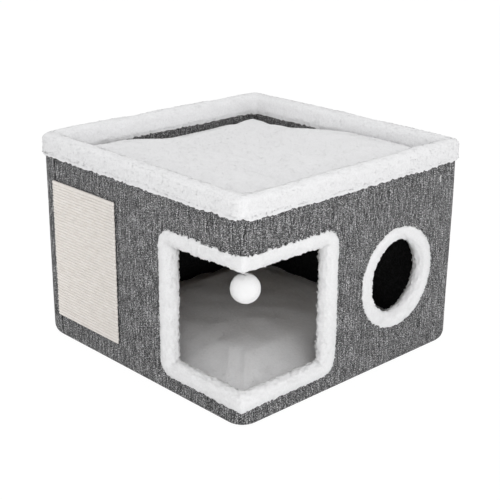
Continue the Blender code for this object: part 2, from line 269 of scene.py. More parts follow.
def calc(tree, operation, *values):
    step = tree.nodes.new("ShaderNodeMath")
    step.operation = operation
    for socket, value in zip(step.inputs, values):
        if isinstance(value, (int, float)):
            socket.default_value = value
        else:
            tree.links.new(value, socket)
    return step.outputs[0]


def noiseAt(tree, vector, scale=1.0, detail=2.0, stretch=None, roughness=0.5):
    if stretch is not None:
        sized = tree.nodes.new("ShaderNodeVectorMath")
        sized.operation = "MULTIPLY"
        sized.inputs[1].default_value = stretch
        tree.links.new(vector, sized.inputs[0])
        vector = sized.outputs[0]
    noise = tree.nodes.new("ShaderNodeTexNoise")
    setInputs(noise, Scale=scale, Detail=detail, Roughness=roughness)
    tree.links.new(vector, noise.inputs["Vector"])
    return noise.outputs["Fac"]


def ramp(tree, value, *stops):
    made = tree.nodes.new("ShaderNodeValToRGB")
    elements = made.color_ramp.elements
    while len(elements) < len(stops):
        elements.new(1.0)
    for element, (place, colour) in zip(elements, stops):
        element.position = place
        element.color = (*colour, 1.0)
    tree.links.new(value, made.inputs["Fac"])
    return made.outputs["Color"]


def spread(tree, value, low, high, newLow=0.0, newHigh=1.0):
    made = tree.nodes.new("ShaderNodeMapRange")
    setInputs(made, From_Min=low, From_Max=high, To_Min=newLow, To_Max=newHigh)
    tree.links.new(value, made.inputs["Value"])
    return made.outputs["Result"]


# Blender's noise keeps mostly between these values
noiseRange = (0.3, 0.7)


def evenMix(tree, first, second):
    return calc(tree, "MULTIPLY_ADD", first, 0.5, calc(tree, "MULTIPLY", second, 0.5))


def newGroup(name, inputs, outputs):
    group = bpy.data.node_groups.new(name, "ShaderNodeTree")
    for label, kind, value in inputs:
        socket = group.interface.new_socket(label, in_out="INPUT", socket_type="NodeSocket" + kind)
        if value is not None:
            socket.default_value = value
    for label, kind in outputs:
        group.interface.new_socket(label, in_out="OUTPUT", socket_type="NodeSocket" + kind)
    return group, group.nodes.new("NodeGroupInput"), group.nodes.new("NodeGroupOutput")


def useGroup(tree, group, **values):
    node = tree.nodes.new("ShaderNodeGroup")
    node.node_tree = group
    for label, value in values.items():
        socket = node.inputs[label.replace("_", " ")]
        if isinstance(value, (int, float)):
            socket.default_value = value
        else:
            tree.links.new(value, socket)
    return node.outputs


# Plain weave of slubby yarn: warp and weft threads pass over each other, and each has its own run of
# lighter and darker stretches
weaveSettings = {
    "apart": 0.73,  # how far neighbouring threads lie apart in the noise
    "warpSlice": 3.1,  # warp and weft take different slices of it
    "weftSlice": 9.7,
    "detail": 3.0,
    "roughness": 0.75,
}


def makeWeaveGroup(s):
    group, given, result = newGroup(
        "slubby_weave",
        [
            ("Cloth", "Vector", None),
            ("Thread", "Float", 0.0009),
            ("Warp Run", "Float", 0.024),
            ("Weft Run", "Float", 0.004),
        ],
        [("Tone", "Float"), ("Height", "Float")],
    )
    split = group.nodes.new("ShaderNodeSeparateXYZ")
    group.links.new(given.outputs["Cloth"], split.inputs[0])
    across, up = split.outputs["X"], split.outputs["Y"]
    thread = given.outputs["Thread"]
    acrossCount = calc(group, "DIVIDE", across, thread)
    upCount = calc(group, "DIVIDE", up, thread)
    warpNumber = calc(group, "FLOOR", acrossCount)
    weftNumber = calc(group, "FLOOR", upCount)

    def threadTone(number, along, run, layer):
        place = group.nodes.new("ShaderNodeCombineXYZ")
        group.links.new(calc(group, "MULTIPLY", number, s["apart"]), place.inputs["X"])
        group.links.new(calc(group, "DIVIDE", along, given.outputs[run]), place.inputs["Y"])
        place.inputs["Z"].default_value = layer
        return noiseAt(group, place.outputs[0], detail=s["detail"], roughness=s["roughness"])

    def threadBulge(position):
        return calc(group, "SINE", calc(group, "MULTIPLY", calc(group, "FRACT", position), math.pi))

    warpTone = threadTone(warpNumber, up, "Warp Run", s["warpSlice"])
    weftTone = threadTone(weftNumber, across, "Weft Run", s["weftSlice"])
    warpBulge = threadBulge(acrossCount)
    weftBulge = threadBulge(upCount)
    over = calc(group, "FLOORED_MODULO", calc(group, "ADD", warpNumber, weftNumber), 2.0)

    def either(warp, weft):
        return calc(group, "MULTIPLY_ADD", calc(group, "SUBTRACT", warp, weft), over, weft)

    group.links.new(either(warpTone, weftTone), result.inputs["Tone"])
    group.links.new(either(warpBulge, weftBulge), result.inputs["Height"])
    return group


# Loose fibres that lie every way, as in felt, fibreboard or sisal
fibreSettings = {
    "turns": (0.3, 1.5, 2.6),  # the ways in which three layers of fibres lie
    "axis": (0.5, 0.6, 0.62),
    "breakUp": 0.3,
    "breakScale": 120.0,
    "fleck": (0.45, 0.8),
}


def makeFibreGroup(s):
    group, given, result = newGroup(
        "loose_fibres",
        [("Place", "Vector", None), ("Fibres", "Float", 400.0), ("Streak", "Float", 6.0)],
        [("Fleck", "Float"), ("Height", "Float")],
    )
    bent = group.nodes.new("ShaderNodeTexNoise")
    setInputs(bent, Scale=s["breakScale"], Detail=1.0)
    group.links.new(given.outputs["Place"], bent.inputs["Vector"])
    layers = []
    for turn in s["turns"]:
        turned = group.nodes.new("ShaderNodeVectorRotate")
        turned.rotation_type = "AXIS_ANGLE"
        turned.inputs["Axis"].default_value = s["axis"]
        turned.inputs["Angle"].default_value = turn
        group.links.new(given.outputs["Place"], turned.inputs["Vector"])
        split = group.nodes.new("ShaderNodeSeparateXYZ")
        group.links.new(turned.outputs[0], split.inputs[0])
        place = group.nodes.new("ShaderNodeCombineXYZ")
        group.links.new(
            calc(group, "DIVIDE", split.outputs["X"], given.outputs["Streak"]), place.inputs["X"]
        )
        group.links.new(split.outputs["Y"], place.inputs["Y"])
        group.links.new(split.outputs["Z"], place.inputs["Z"])
        layer = group.nodes.new("ShaderNodeTexNoise")
        setInputs(layer, Detail=2.0)
        group.links.new(given.outputs["Fibres"], layer.inputs["Scale"])
        group.links.new(place.outputs[0], layer.inputs["Vector"])
        layers.append(layer.outputs["Fac"])
    most = calc(group, "MAXIMUM", calc(group, "MAXIMUM", layers[0], layers[1]), layers[2])
    uneven = calc(group, "SUBTRACT", bent.outputs["Fac"], 0.5)
    broken = calc(group, "MULTIPLY_ADD", uneven, s["breakUp"], most)
    group.links.new(spread(group, broken, *s["fleck"]), result.inputs["Fleck"])
    group.links.new(most, result.inputs["Height"])
    return group


# Wear and handling: where convex edges rub, broken up by a soft noise
wearSettings = {"pointed": (0.51, 0.58), "detail": 3.0}


def makeWearGroup(s):
    group, given, result = newGroup(
        "soft_wear",
        [("Place", "Vector", None), ("Patches", "Float", 30.0)],
        [("Edge", "Float"), ("Patch", "Float")],
    )
    shape = group.nodes.new("ShaderNodeNewGeometry")
    edge = spread(group, shape.outputs["Pointiness"], *s["pointed"])
    patch = group.nodes.new("ShaderNodeTexNoise")
    setInputs(patch, Detail=s["detail"])
    group.links.new(given.outputs["Place"], patch.inputs["Vector"])
    group.links.new(given.outputs["Patches"], patch.inputs["Scale"])
    group.links.new(calc(group, "MULTIPLY", edge, patch.outputs["Fac"]), result.inputs["Edge"])
    group.links.new(patch.outputs["Fac"], result.inputs["Patch"])
    return group


weaveGroup = makeWeaveGroup(weaveSettings)
fibreGroup = makeFibreGroup(fibreSettings)
wearGroup = makeWearGroup(wearSettings)


def newMaterial(name, roughness, sheen=0.0):
    material = bpy.data.materials.new(name)
    material.use_nodes = True
    tree = material.node_tree
    shader = tree.nodes["Principled BSDF"]
    setInputs(shader, Roughness=roughness, Sheen_Weight=sheen, Specular_IOR_Level=0.2)
    return material, tree, shader


def objectPlace(tree):
    return tree.nodes.new("ShaderNodeTexCoord").outputs["Object"]


def clothPlace(tree):
    source = tree.nodes.new("ShaderNodeAttribute")
    source.attribute_name = "cloth"
    return source.outputs["Vector"]


def bumped(tree, shader, height, distance):
    bump = tree.nodes.new("ShaderNodeBump")
    setInputs(bump, Distance=distance, Strength=1.0)
    tree.links.new(height, bump.inputs["Height"])
    tree.links.new(bump.outputs["Normal"], shader.inputs["Normal"])


# A colour times low where value is 0 and times high where it is 1
def tinted(tree, colour, value, low, high):
    scaled = tree.nodes.new("ShaderNodeVectorMath")
    scaled.operation = "SCALE"
    tree.links.new(colour, scaled.inputs[0])
    tree.links.new(spread(tree, value, 0.0, 1.0, low, high), scaled.inputs["Scale"])
    return scaled.outputs[0]


# A colour made darker and lighter by a share, after a noise
def varied(tree, colour, noise, share):
    return tinted(tree, colour, spread(tree, noise, *noiseRange), 1 - share, 1 + share)


# Grey melange linen
linenSettings = {
    "roughness": 0.9,
    "sheen": 0.12,
    "thread": 0.0014,
    "warpRun": 0.032,
    "weftRun": 0.0030,
    "dark": (0.012, 0.012, 0.013),
    "middle": (0.117, 0.117, 0.120),
    "light": (0.535, 0.535, 0.542),
    "contrast": 0.115,  # the smaller, the sooner a yarn is quite dark or light
    "bands": 0.08,
    "bandScale": (75.0, 6.0, 1.0),
    "grain": 0.80,
    "grainScale": (400.0, 540.0, 1.0),
    "patches": 14.0,
    "patchTint": (0.93, 1.07),
    "wornEdge": 1.2,
    # the painted shade along the seam's groove, as a share of the colour
    "seamShade": 0.05,
    "yarnRoughness": (0.95, 0.8),
    "bump": 0.0005,
}


def makeLinen(s):
    material, tree, shader = newMaterial("grey_linen", s["roughness"], s["sheen"])
    cloth = clothPlace(tree)
    weave = useGroup(
        tree, weaveGroup, Cloth=cloth, Thread=s["thread"], Warp_Run=s["warpRun"], Weft_Run=s["weftRun"]
    )
    wear = useGroup(tree, wearGroup, Place=objectPlace(tree), Patches=s["patches"])
    tone = spread(tree, weave["Tone"], 0.5 - s["contrast"], 0.5 + s["contrast"])
    colour = ramp(tree, tone, (0.0, s["dark"]), (0.5, s["middle"]), (1.0, s["light"]))
    colour = tinted(tree, colour, wear["Patch"], *s["patchTint"])
    bands = noiseAt(tree, cloth, stretch=s["bandScale"])
    colour = varied(tree, colour, bands, s["bands"])
    grain = noiseAt(tree, cloth, detail=0.0, stretch=s["grainScale"])
    colour = varied(tree, colour, grain, s["grain"])
    colour = tinted(tree, colour, wear["Edge"], 1.0, s["wornEdge"])
    # Painted shade: the linen is darker along the seam's groove
    seam = tree.nodes.new("ShaderNodeSeparateXYZ")
    tree.links.new(cloth, seam.inputs[0])
    colour = tinted(tree, colour, seam.outputs["Z"], 1.0, s["seamShade"])
    tree.links.new(colour, shader.inputs["Base Color"])
    roughness = spread(tree, weave["Tone"], *noiseRange, *s["yarnRoughness"])
    tree.links.new(roughness, shader.inputs["Roughness"])
    bumped(tree, shader, weave["Height"], s["bump"])
    return material


# White plush, in a version for each pile. Their whites are painted lighter or darker as light and shade:
# the ball's lightest, the pad's darkest
plushShared = {
    "roughness": 0.95,
    "sheen": 0.25,
    "hollowScale": 0.45,  # of the pile's scale
    # painted shade: the pile's hollows take a darker copy of the colour
    "paintedShadeTone": 0.32,  # where a hollow is fully shaded, and where it ends
    "clearTone": 0.62,
    "patches": 22.0,
    "patchTint": (0.985, 1.015),
    "pileRoughness": (1.0, 0.88),
}
plushSettings = {
    # shade is how dark the painted shade in the pile's hollows is, as a share of the colour
    "rim": {"colour": (0.862, 0.862, 0.870), "shade": 0.90, "pile": 0.0018, "bump": 0.0006},
    "trim": {"colour": (0.902, 0.902, 0.908), "shade": 0.92, "pile": 0.0018, "bump": 0.0005},
    "pad": {"colour": (0.830, 0.830, 0.838), "shade": 0.93, "pile": 0.0016, "bump": 0.0004},
    "ball": {"colour": (0.985, 0.985, 0.987), "shade": 0.98, "pile": 0.0012, "bump": 0.0002},
}


def makePlush(kind, s):
    material, tree, shader = newMaterial("white_plush_" + kind, s["roughness"], s["sheen"])
    place = objectPlace(tree)
    wear = useGroup(tree, wearGroup, Place=place, Patches=s["patches"])
    pile = noiseAt(tree, place, 1 / s["pile"], 3.0)
    hollow = noiseAt(tree, place, s["hollowScale"] / s["pile"])
    # Painted shade in the pile's hollows: a darker copy of the colour, placed by noise
    shaded = tuple(s["shade"] * c for c in s["colour"])
    tone = evenMix(tree, hollow, pile)
    colour = ramp(tree, tone, (s["paintedShadeTone"], shaded), (s["clearTone"], s["colour"]))
    colour = tinted(tree, colour, wear["Patch"], *s["patchTint"])
    tree.links.new(colour, shader.inputs["Base Color"])
    roughness = spread(tree, pile, *noiseRange, *s["pileRoughness"])
    tree.links.new(roughness, shader.inputs["Roughness"])
    bumped(tree, shader, calc(tree, "ADD", pile, hollow), s["bump"])
    return material


# Natural sisal, woven in ribs
sisalSettings = {
    "roughness": 0.85,
    "sheen": 0.05,
    "shade": (0.72, 0.68, 0.635),
    "yarn": (0.910, 0.863, 0.815),
    "bright": (0.96, 0.93, 0.90),
    "tones": (0.15, 0.5, 0.95),
    "fibres": 900.0,
    "streak": 5.0,
    "fleckShare": 0.3,
    "ribShare": 0.85,
    "ribScale": (55.0, 420.0, 1.0),
    # painted shade: how dark the grooves between ribs are, as a share of the colour
    "groove": 0.64,
    # painted light, from the front edge to the rear edge
    "paintedLightFront": 0.98,
    "paintedLightRear": 1.05,
    "patches": 40.0,
    "patchTint": (0.97, 1.03),
    "fibreRoughness": (0.92, 0.74),
    "bump": 0.0003,
}


def makeSisal(s):
    material, tree, shader = newMaterial("natural_sisal", s["roughness"], s["sheen"])
    place = objectPlace(tree)
    cloth = clothPlace(tree)
    fibres = useGroup(tree, fibreGroup, Place=place, Fibres=s["fibres"], Streak=s["streak"])
    streaks = noiseAt(tree, cloth, detail=3.0, stretch=s["ribScale"])
    wear = useGroup(tree, wearGroup, Place=place, Patches=s["patches"])
    alongRibs = calc(tree, "MULTIPLY", streaks, s["ribShare"])
    tone = calc(tree, "MULTIPLY_ADD", fibres["Fleck"], s["fleckShare"], alongRibs)
    colour = ramp(tree, tone, *zip(s["tones"], (s["shade"], s["yarn"], s["bright"])))
    # Painted shade in the grooves, after the tone that the pad's mesh carries
    relief = tree.nodes.new("ShaderNodeSeparateXYZ")
    tree.links.new(cloth, relief.inputs[0])
    colour = tinted(tree, colour, relief.outputs["Z"], s["groove"], 1.0)
    # Painted light: the sisal is lighter towards its rear edge
    towardsRear = spread(tree, relief.outputs["X"], 0.0, padHigh.y - padLow.y)
    colour = tinted(tree, colour, towardsRear, s["paintedLightFront"], s["paintedLightRear"])
    colour = tinted(tree, colour, wear["Patch"], *s["patchTint"])
    tree.links.new(colour, shader.inputs["Base Color"])
    roughness = spread(tree, fibres["Fleck"], 0.0, 1.0, *s["fibreRoughness"])
    tree.links.new(roughness, shader.inputs["Roughness"])
    bumped(tree, shader, fibres["Height"], s["bump"])
    return material


# Black non-woven felt
feltSettings = {
    "roughness": 0.95,
    "sheen": 0.03,
    "black": (0.009, 0.009, 0.0095),
    "lint": (0.030, 0.030, 0.032),
    "tones": (0.15, 1.0),
    "fibres": 500.0,
    "streak": 8.0,
    "fibreRoughness": (1.0, 0.85),
    "bump": 0.0003,
}


def makeFelt(s):
    material, tree, shader = newMaterial("black_felt", s["roughness"], s["sheen"])
    place = objectPlace(tree)
    fibres = useGroup(tree, fibreGroup, Place=place, Fibres=s["fibres"], Streak=s["streak"])
    colour = ramp(tree, fibres["Fleck"], *zip(s["tones"], (s["black"], s["lint"])))
    tree.links.new(colour, shader.inputs["Base Color"])
    roughness = spread(tree, fibres["Fleck"], 0.0, 1.0, *s["fibreRoughness"])
    tree.links.new(roughness, shader.inputs["Roughness"])
    bumped(tree, shader, fibres["Height"], s["bump"])
    return material


# Bare fibreboard
boardSettings = {
    "roughness": 0.8,
    "dark": (0.27, 0.175, 0.10),
    "middle": (0.43, 0.31, 0.195),
    "light": (0.58, 0.45, 0.31),
    "tones": (0.0, 0.45, 1.0),
    "fibres": 700.0,
    "streak": 4.0,
    "patches": 18.0,
    "patchTint": (0.82, 1.18),
    "wornEdge": 0.6,
    "patchRoughness": (0.72, 0.88),
    "bump": 0.00015,
}


def makeBoard(s):
    material, tree, shader = newMaterial("bare_fibreboard", s["roughness"])
    place = objectPlace(tree)
    fibres = useGroup(tree, fibreGroup, Place=place, Fibres=s["fibres"], Streak=s["streak"])
    wear = useGroup(tree, wearGroup, Place=place, Patches=s["patches"])
    colour = ramp(tree, fibres["Fleck"], *zip(s["tones"], (s["dark"], s["middle"], s["light"])))
    colour = tinted(tree, colour, wear["Patch"], *s["patchTint"])
    colour = tinted(tree, colour, wear["Edge"], 1.0, s["wornEdge"])
    tree.links.new(colour, shader.inputs["Base Color"])
    roughness = spread(tree, wear["Patch"], *noiseRange, *s["patchRoughness"])
    tree.links.new(roughness, shader.inputs["Roughness"])
    bumped(tree, shader, fibres["Height"], s["bump"])
    return material


# Woven tape, and the white cord and ribbon
wovenShared = {
    "roughness": 0.8,
    "sheen": 0.1,
    "warpRun": 0.02,
    "weftRun": 0.01,
    "tones": (0.2, 0.8),
    "threadRoughness": (0.9, 0.7),
    "bump": 0.0002,
}
wovenSettings = {
    "tape": {"dark": (0.012, 0.012, 0.012), "light": (0.035, 0.035, 0.036), "thread": 0.0008},
    "cord": {"dark": (0.60, 0.60, 0.60), "light": (0.82, 0.82, 0.82), "thread": 0.0006},
}


def makeWoven(kind, s):
    material, tree, shader = newMaterial("woven_" + kind, s["roughness"], s["sheen"])
    cloth = clothPlace(tree)
    weave = useGroup(
        tree, weaveGroup, Cloth=cloth, Thread=s["thread"], Warp_Run=s["warpRun"], Weft_Run=s["weftRun"]
    )
    tone = evenMix(tree, weave["Height"], weave["Tone"])
    colour = ramp(tree, tone, *zip(s["tones"], (s["dark"], s["light"])))
    tree.links.new(colour, shader.inputs["Base Color"])
    roughness = spread(tree, weave["Height"], 0.0, 1.0, *s["threadRoughness"])
    tree.links.new(roughness, shader.inputs["Roughness"])
    bumped(tree, shader, weave["Height"], s["bump"])
    return material


linen = makeLinen(linenSettings)
plush = {kind: makePlush(kind, {**plushShared, **s}) for kind, s in plushSettings.items()}
sisal = makeSisal(sisalSettings)
felt = makeFelt(feltSettings)
board = makeBoard(boardSettings)
woven = {kind: makeWoven(kind, {**wovenShared, **s}) for kind, s in wovenSettings.items()}
print("materials made")


def finishPiece(piece, material, body="house", replaced=()):
    piece.data.materials.clear()
    piece.data.materials.append(material)
    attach(piece, body)
    if replaced:
        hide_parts(*replaced)
    return piece


# Boards and strips keep their solids
boardNodes = [
    "front_board", "rear_board", "left_front_board", "left_rear_board", "right_front_board",
    "right_rear_board", "base_board", "platform_board", "front_ledge", "rear_ledge",
    "left_front_ledge", "left_rear_ledge", "right_front_ledge", "right_rear_ledge",
]
for name in boardNodes:
    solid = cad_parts[name]
    solid.data.materials.clear()
    solid.data.materials.append(board)


# The steps in which a sleeve goes round a corner
cornerSteps = 13


# Rows of points round the walls, from the seam in the left wall past the near corner and back, with
# grid lines on the doorway's edges. cloth holds the distance from the near corner and the height
def sleeveGrid(half, heights, radii, seams, cell):
    counts = None
    points, cloth, outward = [], [], []
    turns = np.linspace(0, math.pi / 2, cornerSteps)
    corners = [(-1, -1, math.pi), (1, -1, 1.5 * math.pi), (1, 1, 0.0), (-1, 1, 0.5 * math.pi)]
    for z, radius, seamY in zip(heights, radii, seams):
        core = half - radius
        bends = []
        for x, y, start in corners:
            bend = radius * np.column_stack([np.cos(start + turns), np.sin(start + turns)])
            bends.append(np.array([x, y]) * core + bend)
        line = np.concatenate([[(-half, seamY)], *bends, [(-half, seamY)]])
        run = np.concatenate([[0], np.cumsum(np.hypot(*np.diff(line, axis=0).T))])
        corner = run[1 : cornerSteps + 1].mean()
        turned = run[cornerSteps]
        stops = [0, seamY - doorY, run[1], turned, turned + doorX + core, run[-1]]
        if counts is None:
            counts = [max(2, round((b - a) / cell)) for a, b in zip(stops, stops[1:])]
        at = [np.linspace(a, b, n, endpoint=False) for a, b, n in zip(stops, stops[1:], counts)]
        at = np.append(np.concatenate(at), run[-1])
        plan = np.column_stack([np.interp(at, run, line[:, 0]), np.interp(at, run, line[:, 1])])
        away = plan - np.clip(plan, -core, core)
        away /= np.linalg.norm(away, axis=1, keepdims=True)
        flat = np.full(len(at), z)
        points.append(np.column_stack([plan, flat]))
        cloth.append(np.column_stack([at - corner, flat, 0 * flat]))
        outward.append(np.column_stack([away, 0 * flat]))
    shape = (len(points), len(points[0]))
    return np.concatenate(points), np.concatenate(cloth), np.concatenate(outward), shape


# Heights of a sleeve's rows, with rows on the doorway's upper and lower edge
def evenHeights(low, high, cell):
    stops = [low] + [z for z in (doorBottom, doorTop) if low < z < high] + [high]
    parts = []
    for a, b in zip(stops, stops[1:]):
        parts.append(np.linspace(a, b, max(2, round((b - a) / cell)), endpoint=False))
    return np.append(np.concatenate(parts), high)


# Distances along the walls from points to the doorway's edge and to the window's, above 0 on the cloth
def clearOfOpenings(points):
    x, y, z = points.T
    behind = walls["reach"] - walls["half"]
    aside = np.where(y < x, x - doorX, y - doorY)
    height = np.maximum(doorBottom - z, z - doorTop)
    outside = np.hypot(np.maximum(aside, 0), np.maximum(height, 0))
    inside = np.minimum(np.maximum(aside, height), 0)
    door = np.where((y < behind) | (x < behind), outside + inside, 1.0)
    window = np.where(y < behind, np.hypot(x - windowX, z - windowZ) - windowRadius, 1.0)
    return door, window


# Faces of a sleeve outside the openings, farther from the window than spare. Points beside the window
# move onto its edge
def cutSleeve(points, moved, shape, spare):
    rows, columns = shape
    door, window = clearOfOpenings(points)
    ring = np.hypot(points[:, 0] - windowX, points[:, 2] - windowZ).clip(1e-6)
    beside = abs(window - spare) < walls["snap"]
    pull = np.where(beside, (window - spare) / ring, 0)
    moved[:, 0] -= pull * (points[:, 0] - windowX)
    moved[:, 2] -= pull * (points[:, 2] - windowZ)
    middle = points.reshape(rows, columns, 3)
    middle = (middle[:-1, :-1] + middle[1:, :-1] + middle[:-1, 1:] + middle[1:, 1:]) / 4
    door, _ = clearOfOpenings(middle.reshape(-1, 3))
    window = (window > spare - walls["snap"]).reshape(rows, columns)
    whole = window[:-1, :-1] & window[1:, :-1] & window[:-1, 1:] & window[1:, 1:]
    return gridFaces(rows, columns, whole & (door > 0).reshape(rows - 1, columns - 1))


# Linen sleeve round all four walls, sewn together near the rear left corner
coverSettings = {
    "cell": 0.0040,
    "thickness": 0.0025,
    "hem": 0.0003,  # the lowest point of the cloth
    "hemRows": (0.0006, 0.0014, 0.0025),  # further rows of the grid, just over it
    "seamY": 0.2175,
    "seamLean": 0.0045,
    "seamLeanHeight": 0.05,
    "seamDepth": 0.0020,
    "seamWidth": 0.0011,
    # how far the painted shade spreads from the seam
    "seamShade": 0.0026,
    "bulge": 0.0040,
    "bulgeHeld": 0.050,  # how far from a trim the cloth lies flat
    "bulgeMiddle": 0.9,  # 1 puts it half way up, less puts it lower
    "wrinkle": 0.0007,
    "wrinkleSize": 0.03,
    "wrinkleStretch": (1, 0.35, 1),
    "pucker": 0.0010,
    "puckerReach": 0.016,
    "puckerPitch": 0.013,
    "puckerSize": 0.02,  # of the noise that makes them uneven
    "puckerDrift": 2.5,
    "puckerEven": 0.6,
    "puckerUneven": 0.4,
    "doorEdge": 0.002,  # this near to the doorway's upper and lower edge, puckers run along it
    "rimPucker": 0.7,
    "rimPuckerSize": 0.009,
    "rimPuckerStretch": (1, 0.1, 1),
    "tuck": 0.0020,
    "tuckHeight": 0.006,
    "tuckRounding": 0.97,
    "flatFoot": 0.02,  # the height up to which the relief fades in
    "tip": 0.0100,  # how far the lowest tip of a corner draws in
    "tipHeight": 0.015,
    "tipRounding": 0.98,
    "seeds": {"window": 3, "doorway": 4, "rim": 5, "wrinkle": 11},
}


# A quarter circle's fall: 0 for a share of 0, 1 for a share of 1
def roundOff(share):
    return 1 - np.sqrt(1 - share**2)


def makeCover(s):
    half, seeds = walls["half"], s["seeds"]
    heights = evenHeights(s["hem"], walls["top"], s["cell"])
    heights = np.insert(heights, 1, s["hem"] + np.array(s["hemRows"]))
    share = (1 - heights / s["tipHeight"]).clip(0, 1)
    radii = walls["cornerRadius"] + s["tip"] * roundOff(s["tipRounding"] * share) / (math.sqrt(2) - 1)
    seams = s["seamY"] - s["seamLean"] * (1 - heights / s["seamLeanHeight"]).clip(0) ** 2
    points, cloth, out, shape = sleeveGrid(half, heights, radii, seams, s["cell"])
    x, y, z = points.T
    door, window = clearOfOpenings(points)
    opening = np.minimum(door, window)
    past = np.maximum(np.maximum(padLow.y - y, y - padHigh.y), np.maximum(padLow.z - z, z - padHigh.z))
    pad = np.where(x < walls["reach"] - half, past.clip(0), 1.0)
    held = smoothStep(np.minimum(opening - walls["trimToCut"], pad), 0, s["bulgeHeld"])
    along = np.where(abs(out[:, 0]) > abs(out[:, 1]), y, x) / half
    height = (z - s["hem"]) / (walls["top"] - s["hem"])
    offset = s["bulge"] * held * (1 - along**4) * (1 - abs(2 * height - s["bulgeMiddle"]) ** 3).clip(0)
    # Soft wrinkles, longer than they are wide
    wrinkles = softNoise(cloth * s["wrinkleStretch"], s["wrinkleSize"], seeds["wrinkle"])
    offset += s["wrinkle"] * held * wrinkles
    # Puckers where the trims are sewn on, and under the rim
    aroundWindow = np.arctan2(z - windowZ, x - windowX) * windowRadius
    beyondDoor = np.maximum(doorBottom - z, z - doorTop)
    aroundDoor = np.where(beyondDoor > -s["doorEdge"], cloth[:, 0], z)
    waves = 2 * math.pi / s["puckerPitch"]
    for distance, around, kind in ((window, aroundWindow, "window"), (door, aroundDoor, "doorway")):
        near = np.exp(-(distance - walls["trimToCut"]).clip(0) / s["puckerReach"])
        uneven = softNoise(points, s["puckerSize"], seeds[kind])
        depth = s["puckerEven"] + s["puckerUneven"] * uneven
        offset += s["pucker"] * near * np.sin(waves * around + s["puckerDrift"] * uneven) * depth
    underRim = np.exp(-(rimLow.z - z).clip(0) / s["puckerReach"])
    uneven = softNoise(cloth * s["rimPuckerStretch"], s["rimPuckerSize"], seeds["rim"])
    offset += s["rimPucker"] * s["pucker"] * underRim * uneven
    # The hem turns under, and the two ends are sewn together in a groove
    turn = (1 - (z - s["hem"]) / s["tuckHeight"]).clip(0, 1)
    offset = offset * smoothStep(z, 0, s["flatFoot"]) - s["tuck"] * roundOff(s["tuckRounding"] * turn)
    fromSeam = np.minimum(cloth[:, 0] - cloth[:, 0].min(), cloth[:, 0].max() - cloth[:, 0])
    offset -= s["seamDepth"] * np.exp(-((fromSeam / s["seamWidth"]) ** 2))
    # Painted shade in the seam's groove: the linen is darker along it
    cloth[:, 2] = np.exp(-((fromSeam / s["seamShade"]) ** 2))
    moved = points + out * offset[:, None]
    faces = cutSleeve(points, moved, shape, 0)
    return clothPiece("linen_cover", moved, cloth, faces, s["thickness"])


cover = finishPiece(makeCover(coverSettings), linen, replaced=["outer_cover"])
print("cover made")


# A flat lining along the inside of the walls
innerShared = {
    "radius": 0.0015,
    "seamInset": 0.03,  # from its seam to the rear left corner
    "cutBack": 0.001,  # how far it ends from the window's edge
    "looseSize": 0.04,
    "looseStretch": (1, 0.5, 1),
    "seed": 21,
}
liningSettings = {**innerShared, "cell": 0.006, "thickness": 0.0026, "loose": 0.0003}
facingSettings = {**innerShared, "cell": 0.005, "thickness": 0.0024, "loose": 0.0008}


def makeInnerSleeve(name, low, high, s):
    heights = evenHeights(low.z, high.z, s["cell"])
    radii = np.full(len(heights), s["radius"])
    seams = np.full(len(heights), high.x - s["seamInset"])
    points, cloth, out, shape = sleeveGrid(high.x, heights, radii, seams, s["cell"])
    loose = 0.5 + 0.5 * softNoise(cloth * s["looseStretch"], s["looseSize"], s["seed"])
    moved = points - out * (s["loose"] * loose)[:, None]
    faces = cutSleeve(points, moved, shape, s["cutBack"])
    return clothPiece(name, moved, cloth, faces, s["thickness"])


lining = makeInnerSleeve("felt_lining", liningLow, liningHigh, liningSettings)
finishPiece(lining, felt, replaced=["cave_lining"])
facing = makeInnerSleeve("linen_facing", facingLow, facingHigh, facingSettings)
finishPiece(facing, linen, replaced=["recess_facing"])
print("linings made")


# The black cloth under the house and the tapes that the side walls fold on
flatShared = {"looseSize": 0.03, "seed": 31}
baseFeltSettings = {**flatShared, "cell": 0.006, "share": 0.8, "inset": 0.005, "corner": 0.036}
foldTapeSettings = {**flatShared, "cell": 0.004, "share": 0.85, "inset": 0, "corner": 0}


# A rectangle of cloth laid between two corners, in the plane of the two longer sides. share is its
# thickness as a part of the solid's
def makeFlatCloth(name, low, high, s):
    size = high - low
    thin = min(range(3), key=lambda k: size[k])
    first, second = [k for k in range(3) if k != thin]
    for k in (first, second):
        low[k] += s["inset"]
        high[k] -= s["inset"]
    size = high - low
    rows = int(size[first] / s["cell"]) + 2
    columns = int(size[second] / s["cell"]) + 2
    a, b = np.meshgrid(np.linspace(0, 1, rows), np.linspace(0, 1, columns), indexing="ij")
    points = np.zeros((rows * columns, 3))
    points[:, first] = low[first] + a.ravel() * size[first]
    points[:, second] = low[second] + b.ravel() * size[second]
    cloth = np.column_stack([points[:, first], points[:, second], 0 * a.ravel()])
    thickness = s["share"] * size[thin]
    spare = size[thin] - thickness
    points[:, thin] = high[thin] - spare * (0.5 + 0.5 * softNoise(points, s["looseSize"], s["seed"]))
    if s["corner"]:
        core = np.array([high[first] - s["corner"], high[second] - s["corner"]])
        plan = points[:, [first, second]]
        past = abs(plan) - core
        reach = np.hypot(*past.T)
        outside = (past > 0).all(axis=1) & (reach > s["corner"])
        pulled = np.sign(plan) * (core + past / reach[:, None].clip(1e-9) * s["corner"])
        points[:, [first, second]] = np.where(outside[:, None], pulled, plan)
    faces = gridFaces(rows, columns)
    if np.cross(np.eye(3)[first], np.eye(3)[second])[thin] > 0:
        faces = faces[:, ::-1]
    return clothPiece(name, points, cloth, faces, thickness)


